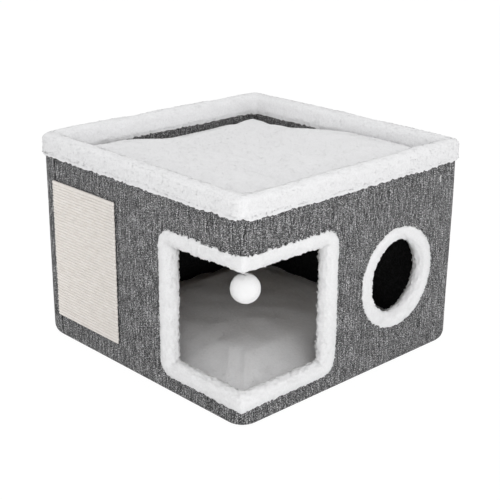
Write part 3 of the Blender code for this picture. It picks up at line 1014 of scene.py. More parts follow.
baseFelt = makeFlatCloth("base_felt", *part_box("base_sheet"), baseFeltSettings)
finishPiece(baseFelt, felt, replaced=["base_sheet"])
for side in ("left", "right"):
    node = side + "_fold_tape"
    tape = makeFlatCloth(side + "_hinge_tape", *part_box(node), foldTapeSettings)
    finishPiece(tape, woven["tape"], replaced=[node])
print("flat cloths made")


softMesh = {"weldDistance": 0.00001, "smoothing": 0.5}
# Each relief of a piece has its own seed, this far from the piece's
seedSteps = {"clump": 7, "fine": 13}


# A node's solid as a piece with even cells, once its modifiers are applied
def evenCopy(name, node, cell):
    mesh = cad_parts[node].data.copy()
    mesh.materials.clear()
    piece = newPiece(name, mesh)
    weld = piece.modifiers.new("weld", "WELD")
    weld.merge_threshold = softMesh["weldDistance"]
    even = piece.modifiers.new("even cells", "REMESH")
    even.mode = "VOXEL"
    even.voxel_size = cell
    return piece


def soften(piece, times):
    smooth = piece.modifiers.new("soften", "SMOOTH")
    smooth.factor = softMesh["smoothing"]
    smooth.iterations = times


# Directions in which plush is shaded: fibres scatter light, so the clumps count little, and what
# faces aside is lit nearly like the front of the piece
shadeSettings = {"turned": (-0.9, 0.1), "lowest": -0.1}


def softDirections(smooth, own, share, front=None, frontShare=0.0):
    blended = smooth + share * own
    if front is not None:
        facing = (smooth * front).sum(axis=1, keepdims=True)
        blended = blended + frontShare * front * smoothStep(facing, *shadeSettings["turned"])
        blended[:, 2] = blended[:, 2].clip(shadeSettings["lowest"], None)
    return blended / np.linalg.norm(blended, axis=1, keepdims=True)


def shadeAlong(mesh, directions):
    mesh.normals_split_custom_set_from_vertices(directions.tolist())


# The way that a trim or the rim faces: away from the wall under it, and aslant at the corners. The rim
# faces up as well, and its inner side faces the other way
awaySettings = {"cornerPower": 24, "rimOutside": 0.8, "rimInside": -0.5, "rimUp": 0.7}


def awayFromWalls(points):
    plan = points[:, :2] / walls["half"]
    away = np.sign(plan) * abs(plan) ** awaySettings["cornerPower"]
    away /= np.linalg.norm(away, axis=1, keepdims=True)
    return np.column_stack([away, 0 * away[:, 0]])


def awayFromRim(points):
    s = awaySettings
    outside = abs(points[:, :2]).max(axis=1, keepdims=True) > walls["half"] - 0.5 * walls["thickness"]
    front = np.where(outside, s["rimOutside"], s["rimInside"]) * awayFromWalls(points)
    front = front + (0, 0, s["rimUp"])
    return front / np.linalg.norm(front, axis=1, keepdims=True)


# Coats of plush. Their locks are a coarse relief, full where a piece turns away from its front
coatShared = {
    "ownShade": 0.35,
    "lockFade": 0.5,
    "lockFront": 0.15,
    "lockSide": 0.85,  # on top of the front's
    "lockInside": 0.50,
    "insideFrom": 0.0015,  # points less clear of an opening than this are inside it
}
coatSettings = {
    "rim": {
        **coatShared, "cell": 0.0022, "soften": 6, "lift": -0.0004, "wave": 0.0012, "waveLength": 0.05,
        "clump": 0.0010, "clumpSize": 0.0090, "lock": 0.0024, "lockSize": 0.0042, "lockFrom": 0.2,
        "frontShade": 0.8, "seed": 41,
    },
    "doorway": {
        **coatShared, "cell": 0.0017, "soften": 4, "lift": 0.0002, "wave": 0.0010, "waveLength": 0.05,
        "clump": 0.0014, "clumpSize": 0.0065, "lock": 0.0042, "lockSize": 0.0037, "lockFrom": 0.5,
        "frontShade": 0.6, "seed": 51,
    },
    "window": {
        **coatShared, "cell": 0.0016, "soften": 4, "lift": 0.0010, "wave": 0.0016, "waveLength": 0.05,
        "clump": 0.0014, "clumpSize": 0.0060, "lock": 0.0038, "lockSize": 0.0034, "lockFrom": 0.5,
        "frontShade": 1.0, "seed": 61,
    },
}
# The rim's own shape. Its heights count from its lower edge
rimShape = {
    "kink": 0.0030,
    "kinkY": 0.012,
    "kinkWidth": 0.014,
    "droop": 0.0030,
    "droopHeight": 0.008,
    "droopFade": 0.006,
    "sag": 0.0025,
    "sagReach": (0.05, 0.45),
    "foot": 0.0030,
    "footHeight": 0.011,
    "footFade": 0.008,
    "cornerRadius": 0.027,
    "cornerSpare": 0.0015,
}
# Inside its hole the window's ring lies closer to the wall than in front
revealShape = {"depth": 0.0042, "front": 0.3, "inside": 0.7, "fade": (0.002, 0.022), "edge": 0.003}


# The rim is bent outwards where the right wall folds
def rimKink(points, out, s):
    fold = np.exp(-(((points[:, 1] - s["kinkY"]) / s["kinkWidth"]) ** 2)) * (points[:, 0] > 0)
    return s["kink"] * fold * out[:, 0].clip(0)


# Its lower edge hangs over the cloth
def rimDroop(points, edge, s):
    return s["droop"] * edge * smoothStep(rimLow.z + s["droopHeight"] - points[:, 2], 0, s["droopFade"])


# It sags a little towards the near corner, its lower edge stands off the cloth, nearly square, and it
# draws in round the corners
def shapeRim(moved, points, hidden, s):
    nearness = smoothStep(-moved[:, 0] - moved[:, 1], *s["sagReach"])
    moved[:, 2] -= s["sag"] * nearness * smoothStep(moved[:, 2], walls["top"], rimHigh.z)
    foot = smoothStep(rimLow.z + s["footHeight"] - points[:, 2], 0, s["footFade"]) * ~hidden
    foot *= abs(points[:, :2]).max(axis=1) > walls["half"]
    moved += s["foot"] * foot[:, None] * awayFromWalls(points)
    core = rimHigh.x - s["cornerRadius"]
    past = (abs(moved[:, :2]) - core).clip(0)
    reach = np.hypot(*past.T)[:, None].clip(1e-9)
    drawn = past * np.minimum(1, (s["cornerRadius"] + s["cornerSpare"]) / reach)
    pull = np.where((past > 0).all(axis=1)[:, None], past - drawn, 0)
    moved[:, :2] -= np.sign(moved[:, :2]) * pull


def openReveal(moved, hidden, s):
    near, far = s["fade"]
    aside = moved[:, [0, 2]] - (windowX, windowZ)
    ring = np.hypot(*aside.T)
    deep = s["front"] + s["inside"] * smoothStep(moved[:, 1], windowLow.y + near, windowLow.y + far)
    deep *= smoothStep(windowRadius - ring, 0, s["edge"])
    moved[:, [0, 2]] += aside / ring[:, None] * (s["depth"] * deep * ~hidden)[:, None]


# A coat of plush: the solid remeshed evenly, softened and lifted into clumps
def makeCoat(name, node, kind, s, front):
    piece = evenCopy(name, node, s["cell"])
    soften(piece, s["soften"])
    mesh = applyModifiers(piece)
    points, out = pointsOf(mesh), normalsOf(mesh)
    hidden = insideWalls(points + out * walls["probe"])
    facing = front(points)
    lift = s["lift"] + s["wave"] * softNoise(points, s["waveLength"], s["seed"])
    lift += s["clump"] * (clumpNoise(points, s["clumpSize"], s["seed"] + seedSteps["clump"]) - 0.5)
    edge = 1 - smoothStep((out * facing).sum(axis=1), s["lockFrom"] - s["lockFade"], s["lockFrom"])
    inside = np.minimum(*clearOfOpenings(points)) < s["insideFrom"]
    locks = np.where(inside, s["lockInside"], s["lockFront"] + s["lockSide"] * edge)
    lift += s["lock"] * locks * softNoise(points, s["lockSize"], s["seed"] + seedSteps["fine"])
    if kind == "rim":
        lift += rimKink(points, out, rimShape)
        lift += rimDroop(points, edge, rimShape)
    moved = points + out * np.where(hidden, 0, lift)[:, None]
    if kind == "rim":
        shapeRim(moved, points, hidden, rimShape)
    if kind == "window":
        openReveal(moved, hidden, revealShape)
    movePoints(mesh, moved)
    mesh.shade_smooth()
    shading = softDirections(out, normalsOf(mesh), s["ownShade"], facing, s["frontShade"])
    shadeAlong(mesh, shading)
    return piece, shading


# Pile: curved tufts of three sides that stand on a coat and lean every way
tuftShape = {
    "sizes": (0.55, 1.35),
    "variation": (0.8, 1.2),
    "leans": (0.3, 1.0),
    "waistUp": 0.5,
    "waistAside": 0.25,
    "waistWidth": 0.8,
    "tipUp": 0.8,
    "ownShade": 0.12,
}


# hiddenBy leaves tufts out, thicker says where more of them stand, and longer changes their length
def growPile(name, coat, shading, s, hiddenBy=None, thicker=None, longer=None):
    mesh = coat.data
    t = tuftShape
    random = np.random.default_rng(s["seed"])
    mesh.calc_loop_triangles()
    triangles = np.zeros(len(mesh.loop_triangles) * 3, np.int32)
    mesh.loop_triangles.foreach_get("vertices", triangles)
    triangles = triangles.reshape(-1, 3)
    points, normals = pointsOf(mesh), normalsOf(mesh)
    a, b, c = (points[triangles[:, k]] for k in range(3))
    area = np.linalg.norm(np.cross(b - a, c - a), axis=1)
    if thicker is not None:
        area *= thicker((a + b + c) / 3)
    chosen = random.choice(len(triangles), s["count"], p=area / area.sum())
    u, v = random.random((2, s["count"], 1))
    u, v = np.where(u + v > 1, 1 - u, u), np.where(u + v > 1, 1 - v, v)
    weights = (1 - u - v, u, v)
    root = sum(w * points[triangles[chosen, k]] for k, w in enumerate(weights))
    out = sum(w * normals[triangles[chosen, k]] for k, w in enumerate(weights))
    out /= np.linalg.norm(out, axis=1, keepdims=True)
    soft = sum(w * shading[triangles[chosen, k]] for k, w in enumerate(weights))
    if hiddenBy is not None:
        shown = ~hiddenBy(root, out)
        root, out, soft = root[shown], out[shown], soft[shown]
    count = len(root)
    aside = np.cross(out, random.normal(size=(count, 3)))
    aside /= np.linalg.norm(aside, axis=1, keepdims=True)
    across = np.cross(out, aside)
    size = random.uniform(*t["sizes"], (count, 1))
    length = s["length"] * size * random.uniform(*t["variation"], (count, 1))
    if longer is not None:
        length *= longer(root, out)[:, None]
    width = 0.5 * s["width"] * size * random.uniform(*t["variation"], (count, 1))
    lean = aside * (s["lean"] * random.uniform(*t["leans"], (count, 1)))
    waist = root + out * length * t["waistUp"] + lean * length * t["waistAside"]
    tip = root + out * length * t["tipUp"] + lean * length
    rings = []
    for middle, radius in ((root - out * s["sink"], width), (waist, width * t["waistWidth"])):
        for k in range(3):
            turn = 2 * math.pi * k / 3
            rings.append(middle + radius * (math.cos(turn) * aside + math.sin(turn) * across))
    # Each tuft has a ring of three points at its root, one at its waist, and a tip
    made = np.stack([*rings, tip], axis=1)
    first = 7 * np.arange(count)[:, None]
    sides = np.concatenate([first + [k, (k + 1) % 3, 3 + (k + 1) % 3, 3 + k] for k in range(3)])
    ends = np.concatenate([first + [3 + k, 3 + (k + 1) % 3, 6] for k in range(3)] + [first + [2, 1, 0]])
    pile = newPiece(name, meshFrom(name, made.reshape(-1, 3), sides, ends))
    # Shaded mostly like the coat under it, so that the tufts blend into one soft surface
    spine = made.mean(axis=1, keepdims=True)
    bent = (made - spine) / np.linalg.norm(made - spine, axis=2, keepdims=True)
    bent = t["ownShade"] * bent + soft[:, None]
    bent /= np.linalg.norm(bent, axis=2, keepdims=True)
    shadeAlong(pile.data, bent.reshape(-1, 3))
    return pile


pileSettings = {
    "rim": {"count": 19800, "length": 0.0034, "width": 0.0015, "lean": 0.4, "sink": 0.0004, "seed": 42},
    "doorway": {"count": 19800, "length": 0.0032, "width": 0.0016, "lean": 0.4, "sink": 0.0004, "seed": 52},
    "window": {"count": 9000, "length": 0.0032, "width": 0.0016, "lean": 0.4, "sink": 0.0004, "seed": 62},
}
# The rim's pile stands mostly along its lower edges, and is long only there
rimPile = {
    "bare": 0.005,
    "downwards": -0.15,
    "edgeHeight": 0.010,
    "thickEdge": 2.0,
    "thinElsewhere": 0.8,
    "short": 0.30,
    "longer": 0.45,
    "longHeight": 0.009,
    "longFade": 0.005,
}
# The trims' pile is pressed flat in front and stands up at the sides, most of all over the cloth
trimPile = {
    "flat": 0.28,
    "side": 0.22,
    "overCloth": 0.24,
    "clothFrom": (0.008, 0.014),
    "turned": (-0.85, -0.35),
}


def inSlot(root, out):
    return insideWalls(root + out * walls["probe"]) | insideWalls(root)


def inSlotOrBelow(root, out):
    below = root[:, 2] < rimLow.z + rimPile["bare"]
    return inSlot(root, out) | (out[:, 2] < rimPile["downwards"]) | below


def alongRimEdges(middle):
    atEdge = middle[:, 2] < rimLow.z + rimPile["edgeHeight"]
    return np.where(atEdge, rimPile["thickEdge"], rimPile["thinElsewhere"])


def rimReach(root, out):
    low = smoothStep(rimLow.z + rimPile["longHeight"] - root[:, 2], 0, rimPile["longFade"])
    return rimPile["short"] + rimPile["longer"] * low


def trimReach(root, out):
    s = trimPile
    facing = np.where(root[:, 1] < root[:, 0], abs(out[:, 1]), abs(out[:, 0]))
    overCloth = smoothStep(np.minimum(*clearOfOpenings(root)), *s["clothFrom"])
    return s["flat"] + (s["side"] + s["overCloth"] * overCloth) * smoothStep(-facing, *s["turned"])


pileRules = {
    "rim": {"hiddenBy": inSlotOrBelow, "thicker": alongRimEdges, "longer": rimReach},
    "doorway": {"hiddenBy": inSlot, "longer": trimReach},
    "window": {"hiddenBy": inSlot, "longer": trimReach},
}
plushPieces = [
    ("plush_rim_coat", "rim_pile", "plush_rim", "rim", "rim", awayFromRim, 0.7),
    ("doorway_plush", "doorway_pile", "doorway_trim", "doorway", "trim", awayFromWalls, 0.85),
    ("window_plush", "window_pile", "window_trim", "window", "trim", awayFromWalls, 0.85),
]
for coatName, pileName, node, kind, finish, front, fill in plushPieces:
    coat, shading = makeCoat(coatName, node, kind, coatSettings[kind], front)
    pile = growPile(pileName, coat, shading, pileSettings[kind], **pileRules[kind])
    finishPiece(coat, plush[finish], replaced=[node])
    finishPiece(pile, plush[finish])
    print("plush made:", kind, len(coat.data.polygons), len(pile.data.polygons))


# Sisal pad: ribs across, each a row of small beads of yarn, bound along its rear edge
sisalPadSettings = {
    "ribs": 48,
    "rowsPerRib": 6,
    "column": 0.0010,
    "thickness": 0.0022,
    "standOff": 0.0004,
    "ribHeight": 0.0010,
    "ribPower": 0.6,  # the smaller, the fuller the ribs
    "beadHeight": 0.00060,
    "beadPitch": 0.0034,
    "unevenRib": 0.35,
    "unevenSize": 0.012,
    "unevenStep": 0.01,
    # lit and beadLit set the painted shade of the grooves: a rib's crest and its beads are lightest
    "lit": 0.70,  # how light the ribs are, with the beads' share on top
    "beadLit": 0.30,
    "edgeDrop": 0.0012,
    "edgeWidth": 0.003,
    "scallop": 0.0024,
    "scallopWidth": 0.006,
    "rearInset": 0.0004,
    "frontScallop": 0.3,
    "drift": 0.0003,
    "driftSize": 0.05,
    "seeds": {"uneven": 71, "drift": 72},
}


def makeSisalPad(s):
    width, height = padHigh.y - padLow.y, padHigh.z - padLow.z
    rows = s["ribs"] * s["rowsPerRib"] + 1
    columns = int(width / s["column"]) + 1
    up, along = np.meshgrid(np.linspace(0, height, rows), np.linspace(0, width, columns), indexing="ij")
    up, along = up.ravel(), along.ravel()
    ribPitch = height / s["ribs"]
    rib = np.floor(up / ribPitch - 1e-6)
    across = np.sin(math.pi * up / ribPitch) ** 2
    bead = np.cos(2 * math.pi * (along / s["beadPitch"] + 0.5 * rib))
    places = np.column_stack([along, rib * s["unevenStep"], 0 * up])
    uneven = softNoise(places, s["unevenSize"], s["seeds"]["uneven"])
    relief = s["ribHeight"] * across ** s["ribPower"] * (1 + s["unevenRib"] * uneven)
    relief = relief + s["beadHeight"] * bead * across
    # Painted shade: tone falls towards 0 in the grooves between ribs and beads, and the material darkens
    # the sisal there
    tone = (across**0.5 * (s["lit"] + s["beadLit"] * bead)).clip(0, 1)
    edge = np.minimum(np.minimum(along, width - along), np.minimum(up, height - up))
    relief = relief - s["edgeDrop"] * (1 - smoothStep(edge, 0, s["edgeWidth"]))
    rear = smoothStep(along, width - s["scallopWidth"], width)
    front = smoothStep(width - along, width - s["scallopWidth"], width)
    scallop = s["scallop"] * across
    places = np.column_stack([up, along, 0 * up])
    drift = s["drift"] * softNoise(places, s["driftSize"], s["seeds"]["drift"])
    y = padLow.y + along + rear * (scallop - s["rearInset"]) - front * s["frontScallop"] * scallop
    z = padLow.z + up + drift
    points = np.column_stack([padLow.x + s["standOff"] - relief, y, z])
    cloth = np.column_stack([along, up, tone])
    faces = gridFaces(rows, columns)
    return clothPiece("sisal_pad", points, cloth, faces, s["thickness"])


sisalPad = finishPiece(makeSisalPad(sisalPadSettings), sisal, replaced=["scratch_pad"])
print("sisal pad made")


# Cushions: the solid remeshed, held along its seam and filled by a short cloth simulation
cushionShared = {
    "cell": 0.005,
    "start": 0.985,  # the width before it is filled, as a share
    "pressure": 3.0,
    "frames": 20,
    "quality": 5,
    "stretchStiffness": 12,
    "bendStiffness": 1.5,
    "heldSide": 0.94,  # points farther out than this share, and near the seam's height, are sewn
    "heldCells": 0.8,
    "reach": 0.006,  # no point moves farther while it is filled
    "soften": 3,
    "topFade": (0.2, 0.8),
    "ownShade": 1.5,
    "clumpSize": 0.006,
    "fineSize": 0.0045,
    "seamDepth": 0.0022,
    "seamWidth": 0.0022,
    "spare": 0.0012,  # how far past its solid it may swell aside
}
cushionSettings = {
    "roof": {
        **cushionShared, "seamShare": 0.42, "clump": 0.0004, "fine": 0.00025, "wave": 0.0014,
        "waveLength": 0.09, "seed": 81,
    },
    "floor": {
        **cushionShared, "seamShare": 0.35, "clump": 0.0006, "fine": 0.0003, "wave": 0.0028,
        "waveLength": 0.034, "seed": 91,
    },
}
# Right of its fold the roof cushion swells and is pushed up against the rim, and so is its rear left
# corner. Each pair is where a part sets in and where it is full
swellShape = {
    "rise": 0.0225,
    "besideFold": 0.34,
    "besideFoldX": (-0.090, -0.066),
    "right": 0.66,
    "rightX": (0.06, 0.2224),
    "rightY": (-0.12, 0.06),
    "corner": 0.62,
    "cornerX": (0.0, 0.13),
    "cornerY": (0.10, 0.2224),
    "fold": 0.0045,
    "foldX": -0.086,
    "foldWidth": 0.0045,
    "foldY": (0.02, 0.09),
    "height": (0.008, 0.026),
}


def fillCushion(piece, s, seamZ):
    mesh = piece.data
    start = pointsOf(mesh)
    high = start.max(axis=0)
    side = np.maximum(abs(start[:, 0]) / high[0], abs(start[:, 1]) / high[1])
    held = piece.vertex_groups.new(name="sewn")
    nearSeam = abs(start[:, 2] - seamZ) < s["cell"] * s["heldCells"]
    held.add(np.flatnonzero((side > s["heldSide"]) & nearSeam).tolist(), 1.0, "REPLACE")
    cloth = piece.modifiers.new("filling", "CLOTH")
    cloth.settings.vertex_group_mass = "sewn"
    cloth.settings.use_pressure = True
    cloth.settings.uniform_pressure_force = s["pressure"]
    cloth.settings.effector_weights.gravity = 0
    cloth.settings.quality = s["quality"]
    cloth.settings.tension_stiffness = s["stretchStiffness"]
    cloth.settings.compression_stiffness = s["stretchStiffness"]
    cloth.settings.bending_stiffness = s["bendStiffness"]
    cloth.point_cache.frame_start = 1
    cloth.point_cache.frame_end = s["frames"]
    for step in range(1, s["frames"] + 1):
        scene.frame_set(step)
    mesh = applyModifiers(piece)
    scene.frame_set(1)
    move = pointsOf(mesh) - start
    length = np.linalg.norm(move, axis=1, keepdims=True)
    move *= np.minimum(1, s["reach"] / length.clip(1e-9))
    movePoints(mesh, start + move)
    piece.vertex_groups.clear()


def swellOf(points, bottom, s):
    x, y, z = points.T
    right = s["besideFold"] * smoothStep(x, *s["besideFoldX"]) + s["right"] * smoothStep(x, *s["rightX"])
    right *= smoothStep(-y, *s["rightY"])
    corner = s["corner"] * smoothStep(y, *s["cornerY"]) * smoothStep(-x, *s["cornerX"])
    low, high = s["height"]
    share = smoothStep(z, bottom + low, bottom + high)
    fold = np.exp(-(((x - s["foldX"]) / s["foldWidth"]) ** 2)) * smoothStep(-y, *s["foldY"])
    return (s["rise"] * np.maximum(right, corner) - s["fold"] * fold) * share


def makeCushion(name, node, kind, s):
    low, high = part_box(node)
    piece = evenCopy(name, node, s["cell"])
    mesh = applyModifiers(piece)
    middle = np.array([0, 0, low.z])
    movePoints(mesh, middle + (pointsOf(mesh) - middle) * (s["start"], s["start"], 1))
    seamZ = low.z + s["seamShare"] * (high.z - low.z)
    fillCushion(piece, s, seamZ)
    soften(piece, s["soften"])
    finer = piece.modifiers.new("finer", "SUBSURF")
    finer.levels = 1
    finer.render_levels = 1
    mesh = applyModifiers(piece)
    points, out = pointsOf(mesh), normalsOf(mesh)
    top = smoothStep(out[:, 2], *s["topFade"])
    lift = s["wave"] * top * softNoise(points, s["waveLength"], s["seed"])
    lift += s["clump"] * (clumpNoise(points, s["clumpSize"], s["seed"] + seedSteps["clump"]) - 0.5)
    lift += s["fine"] * softNoise(points, s["fineSize"], s["seed"] + seedSteps["fine"])
    side = 1 - abs(out[:, 2])
    seam = np.exp(-(((points[:, 2] - seamZ) / s["seamWidth"]) ** 2))
    lift -= s["seamDepth"] * seam * side
    points = points + out * lift[:, None]
    if kind == "roof":
        points[:, 2] += swellOf(points, low.z, swellShape)
    half = min(high.x, high.y) + s["spare"]
    points[:, :2] = points[:, :2].clip(-half, half)
    points[:, 2] = points[:, 2].clip(low.z, None)
    movePoints(mesh, points)
    mesh.shade_smooth()
    shading = softDirections(out, normalsOf(mesh), s["ownShade"])
    shadeAlong(mesh, shading)
    return piece, shading


# Normals lower than this are on a cushion's underside, which carries no pile
bareBelow = -0.3


def underneath(root, out):
    return out[:, 2] < bareBelow


cushionPile = {
    "roof": {"count": 14000, "length": 0.0009, "width": 0.0012, "lean": 0.5, "sink": 0.0004, "seed": 82},
    "floor": {"count": 19800, "length": 0.0013, "width": 0.0013, "lean": 0.5, "sink": 0.0004, "seed": 92},
}
for kind, body in (("roof", "roof_pad"), ("floor", "floor_pad")):
    node = kind + "_cushion"
    cushion, shading = makeCushion(kind + "_pad_cushion", node, kind, cushionSettings[kind])
    pile = growPile(kind + "_pad_pile", cushion, shading, cushionPile[kind], underneath)
    finishPiece(cushion, plush["pad"], body, [node])
    finishPiece(pile, plush["pad"], body)
    print("cushion made:", kind, len(cushion.data.polygons), len(pile.data.polygons))


# A tube of several sides along points, closed at its ends or joined up
def tubeMesh(line, radius, sides, joined=False):
    count = len(line)
    ahead = np.roll(line, -1, axis=0) - np.roll(line, 1, axis=0)
    if not joined:
        ahead[0], ahead[-1] = line[1] - line[0], line[-1] - line[-2]
    ahead /= np.linalg.norm(ahead, axis=1, keepdims=True)
    aside = np.cross(ahead, (0.31, 0.87, 0.38))  # a way that no line here runs
    aside /= np.linalg.norm(aside, axis=1, keepdims=True)
    over = np.cross(ahead, aside)
    turn = 2 * math.pi * np.arange(sides) / sides
    ring = np.cos(turn)[None, :, None] * aside[:, None] + np.sin(turn)[None, :, None] * over[:, None]
    points = (line[:, None] + radius * ring).reshape(-1, 3)
    last = count if joined else count - 1
    k, j = np.meshgrid(np.arange(last), np.arange(sides), indexing="ij")
    here, there = k * sides, (k + 1) % count * sides
    faces = np.stack([here + j, here + (j + 1) % sides, there + (j + 1) % sides, there + j], axis=-1)
    sets = [faces.reshape(-1, 4)]
    if not joined:
        sets += [np.arange(sides)[None, ::-1], (count - 1) * sides + np.arange(sides)[None]]
    return points, sets


def joinParts(name, parts):
    points = np.concatenate([p for p, _ in parts])
    bySides = {}
    first = 0
    for partPoints, sets in parts:
        for faces in sets:
            bySides.setdefault(faces.shape[1], []).append(faces + first)
        first += len(partPoints)
    return meshFrom(name, points, *[np.concatenate(f) for f in bySides.values()])


# Toy: ribbon tab, knot, three-ply cord and a velvety ball with a tied tuft on top
tabSettings = {"thickness": 0.0006, "columns": 21, "bendSteps": 9, "sideSteps": 12}
cordSettings = {"plies": 3, "plyRadius": 0.00055, "plyOffset": 0.00058, "turns": 7, "steps": 90, "sides": 7}
knotSettings = {"radius": 0.0013, "ply": 0.00062, "loop": 1.1, "wide": 0.62, "deep": 0.9, "steps": 90}
ballSettings = {
    "radius": 0.0224,
    "front": (-0.66, -0.66, 0.36),
    "fine": 0.00022,
    "fineSize": 0.0022,
    "wave": 0.0004,
    "waveLength": 0.012,
    "dimple": 0.0016,
    "dimpleWidth": 0.004,
    "fuzz": {"count": 9000, "length": 0.0008, "width": 0.0007, "lean": 0.3, "sink": 0.0002, "seed": 101},
    "seeds": {"fine": 102, "wave": 103},
}
tuftSettings = {
    "count": 70,
    "length": 0.0045,
    "lengths": (0.6, 1.1),
    "leans": (0.1, 0.9),
    "hair": 0.00026,
    "steps": 5,
    "sink": 0.0014,
    "rootRadius": 0.0006,
    "spreadPower": 1.4,
    "droop": 0.35,
    "seed": 104,
}


def makeTab(s):
    low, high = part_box("toy_tab")
    middleY = (low.y + high.y) / 2
    radius = (high.y - low.y) / 2 - s["thickness"] / 2
    turns = np.linspace(math.pi, 2 * math.pi, s["bendSteps"])
    drop = np.linspace(high.z, low.z + radius + s["thickness"] / 2, s["sideSteps"])
    side = [(middleY - radius, z) for z in drop[:-1]]
    bend = [(middleY + radius * math.cos(t), drop[-1] + radius * math.sin(t)) for t in turns]
    path = np.array(side + bend + [(2 * middleY - y, z) for y, z in reversed(side)])
    run = np.concatenate([[0], np.cumsum(np.hypot(*np.diff(path, axis=0).T))])
    across = np.linspace(low.x, high.x, s["columns"])
    flat = np.ones(s["columns"])
    points = np.concatenate([np.column_stack([across, y * flat, z * flat]) for y, z in path])
    cloth = np.concatenate([np.column_stack([across, r * flat, 0 * flat]) for r in run])
    faces = gridFaces(len(path), s["columns"])
    tab = clothPiece("ribbon_tab", points, cloth, faces, s["thickness"])
    return tab, run[-1], high.x - low.x


def makeCord(s):
    low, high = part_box("toy_cord")
    middle = (low + high) / 2
    t = np.linspace(0, 1, s["steps"])
    parts = []
    for ply in range(s["plies"]):
        turn = 2 * math.pi * (s["turns"] * t + ply / s["plies"])
        x = middle.x + s["plyOffset"] * np.cos(turn)
        y = middle.y + s["plyOffset"] * np.sin(turn)
        line = np.column_stack([x, y, low.z + (high.z - low.z) * t])
        parts.append(tubeMesh(line, s["plyRadius"], s["sides"]))
    return newPiece("twisted_cord", joinParts("twisted_cord", parts))


# A trefoil knot
def makeKnot(s):
    low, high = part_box("toy_knot")
    middle = np.array((low + high) / 2)
    t = np.linspace(0, 2 * math.pi, s["steps"], endpoint=False)
    x = s["radius"] * (np.sin(t) + s["loop"] * np.sin(2 * t)) * s["wide"]
    y = s["radius"] * (np.cos(t) - s["loop"] * np.cos(2 * t)) * s["wide"]
    z = s["radius"] * -np.sin(3 * t) * s["deep"]
    ring = tubeMesh(middle + np.column_stack([x, y, z]), s["ply"], 8, joined=True)
    return newPiece("cord_knot", joinParts("cord_knot", [ring]))


def makeBall(s):
    low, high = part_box("toy_ball")
    middle = np.array((low + high) / 2)
    mesh = bpy.data.meshes.new("velvet_ball")
    shape = bmesh.new()
    bmesh.ops.create_icosphere(shape, subdivisions=6, radius=s["radius"])
    shape.to_mesh(mesh)
    shape.free()
    ball = newPiece("velvet_ball", mesh)
    points = pointsOf(mesh)
    out = points / np.linalg.norm(points, axis=1, keepdims=True)
    lift = s["fine"] * softNoise(points, s["fineSize"], s["seeds"]["fine"])
    lift = lift + s["wave"] * softNoise(points, s["waveLength"], s["seeds"]["wave"])
    fromTop = np.hypot(points[:, 0], points[:, 1]) / s["dimpleWidth"]
    dimple = np.exp(-(fromTop**2)) * (points[:, 2] > 0)
    movePoints(mesh, middle + points + out * (lift - s["dimple"] * dimple)[:, None])
    shading = softDirections(out, out, 0.0, np.array([s["front"]]), 1.0)
    shadeAlong(mesh, shading)
    return ball, growPile("ball_fuzz", ball, shading, s["fuzz"])


# The tuft on the ball that the cord is tied into
def makeTuft(s, radius):
    low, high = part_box("toy_ball")
    top = np.array((low + high) / 2) + (0, 0, radius - s["sink"])
    random = np.random.default_rng(s["seed"])
    turn = random.uniform(0, 2 * math.pi, s["count"])
    lean = random.uniform(*s["leans"], s["count"])
    length = s["length"] * random.uniform(*s["lengths"], s["count"])
    t = np.linspace(0, 1, s["steps"])[:, None]
    parts = []
    for angle, tilt, reach in zip(turn, lean, length):
        aside = np.array([math.cos(angle), math.sin(angle), 0])
        sideways = aside * (s["rootRadius"] + reach * tilt * t ** s["spreadPower"])
        upwards = np.array([0, 0, 1]) * reach * t * (1 - s["droop"] * tilt * t)
        parts.append(tubeMesh(top + sideways + upwards, s["hair"], 4))
    return newPiece("ball_tuft", joinParts("ball_tuft", parts))


# A short end of white thread that lies on the front wall, near its upper right corner
threadSettings = {
    "x": 0.2003,
    "low": 0.2980,
    "high": 0.3095,
    "depth": 0.0022,
    "radius": 0.0012,
    "sway": 0.0012,
    "swayHalfTurns": 2.6,
    "lift": 0.0004,
    "curl": 0.10,
    "steps": 24,
    "sides": 6,
}


def makeLooseThread(s):
    t = np.linspace(0, 1, s["steps"])
    x = s["x"] + s["sway"] * np.sin(s["swayHalfTurns"] * math.pi * t)
    y = -walls["half"] - s["depth"] + s["lift"] * np.cos(3 * math.pi * t)
    z = s["low"] + (s["high"] - s["low"]) * (t + s["curl"] * np.sin(3 * math.pi * t))
    thread = tubeMesh(np.column_stack([x, y, z]), s["radius"], s["sides"])
    return newPiece("loose_thread", joinParts("loose_thread", [thread]))


finishPiece(makeLooseThread(threadSettings), woven["cord"])
tab, tabLength, tabWidth = makeTab(tabSettings)
finishPiece(tab, woven["cord"], replaced=["toy_tab"])
finishPiece(makeCord(cordSettings), woven["cord"], "toy", ["toy_cord"])
finishPiece(makeKnot(knotSettings), woven["cord"], "toy_link", ["toy_knot"])
ball, fuzz = makeBall(ballSettings)
finishPiece(ball, plush["ball"], "toy", ["toy_ball"])
finishPiece(fuzz, plush["ball"], "toy")
tuft = makeTuft(tuftSettings, ballSettings["radius"])
finishPiece(tuft, plush["ball"], "toy")
print("toy made")

# Pale floor and soft studio light
studioSettings = {
    "floorHalf": 30.0,
    "floorColour": (0.86, 0.86, 0.86),
    "floorGlow": 0.90,  # how much of what the camera sees of the floor is plain white
    "floorWhite": 1.05,
    "skyStrength": 0.80,
    "aimHeight": 0.18,
    "lamps": [
        {"name": "key", "place": (-1.55, -2.8, 1.4), "size": 2.6, "watts": 34.0},
        {"name": "fill", "place": (-2.9, -0.8, 1.6), "size": 2.2, "watts": 4.0},
        {"name": "top", "place": (0.3, 0.4, 3.0), "size": 2.6, "watts": 4.0},
    ],
}


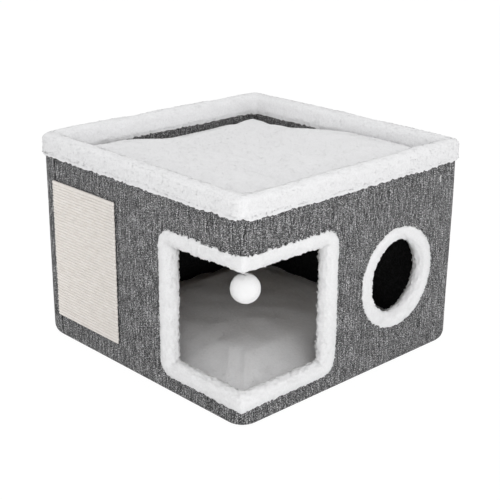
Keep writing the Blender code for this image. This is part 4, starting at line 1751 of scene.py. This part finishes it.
# 1 for the camera and for what mirrors or glass show it
def seenDirectly(tree):
    path = tree.nodes.new("ShaderNodeLightPath")
    seen = calc(tree, "MAXIMUM", path.outputs["Is Camera Ray"], path.outputs["Is Glossy Ray"])
    return calc(tree, "MAXIMUM", seen, path.outputs["Is Transmission Ray"])


def makeStudio(s):
    mesh = bpy.data.meshes.new("studio_floor")
    corners = [(-1, -1), (1, -1), (1, 1), (-1, 1)]
    corners = [(x * s["floorHalf"], y * s["floorHalf"], 0) for x, y in corners]
    mesh.from_pydata(corners, [], [(0, 1, 2, 3)])
    floor = bpy.data.objects.new("studio_floor", mesh)
    scene.collection.objects.link(floor)
    material = bpy.data.materials.new("studio_floor")
    material.use_nodes = True
    tree = material.node_tree
    shader = tree.nodes["Principled BSDF"]
    setInputs(shader, Base_Color=(*s["floorColour"], 1.0), Roughness=1.0, Specular_IOR_Level=0.0)
    glow = setInputs(tree.nodes.new("ShaderNodeEmission"), Strength=s["floorWhite"])
    mixed = tree.nodes.new("ShaderNodeMixShader")
    tree.links.new(calc(tree, "MULTIPLY", seenDirectly(tree), s["floorGlow"]), mixed.inputs["Fac"])
    tree.links.new(shader.outputs[0], mixed.inputs[1])
    tree.links.new(glow.outputs[0], mixed.inputs[2])
    tree.links.new(mixed.outputs[0], tree.nodes["Material Output"].inputs["Surface"])
    mesh.materials.append(material)

    world = bpy.data.worlds.new("studio_sky")
    scene.world = world
    world.use_nodes = True
    tree = world.node_tree
    sky = tree.nodes["Background"]
    setInputs(sky, Color=(1, 1, 1, 1), Strength=s["skyStrength"])
    backdrop = tree.nodes.new("ShaderNodeBackground")
    setInputs(backdrop, Color=(1, 1, 1, 1), Strength=1.0)
    mixed = tree.nodes.new("ShaderNodeMixShader")
    tree.links.new(seenDirectly(tree), mixed.inputs["Fac"])
    tree.links.new(sky.outputs[0], mixed.inputs[1])
    tree.links.new(backdrop.outputs[0], mixed.inputs[2])
    tree.links.new(mixed.outputs[0], tree.nodes["World Output"].inputs["Surface"])

    for lamp in s["lamps"]:
        light = bpy.data.lights.new(lamp["name"] + "_lamp", "AREA")
        light.size = lamp["size"]
        light.energy = lamp["watts"]
        holder = bpy.data.objects.new(lamp["name"] + "_lamp", light)
        holder.location = lamp["place"]
        aim = Vector((0, 0, s["aimHeight"])) - Vector(lamp["place"])
        holder.rotation_euler = aim.to_track_quat("-Z", "Y").to_euler()
        scene.collection.objects.link(holder)


makeStudio(studioSettings)
scene.view_settings.view_transform = "Standard"
print("studio lit")
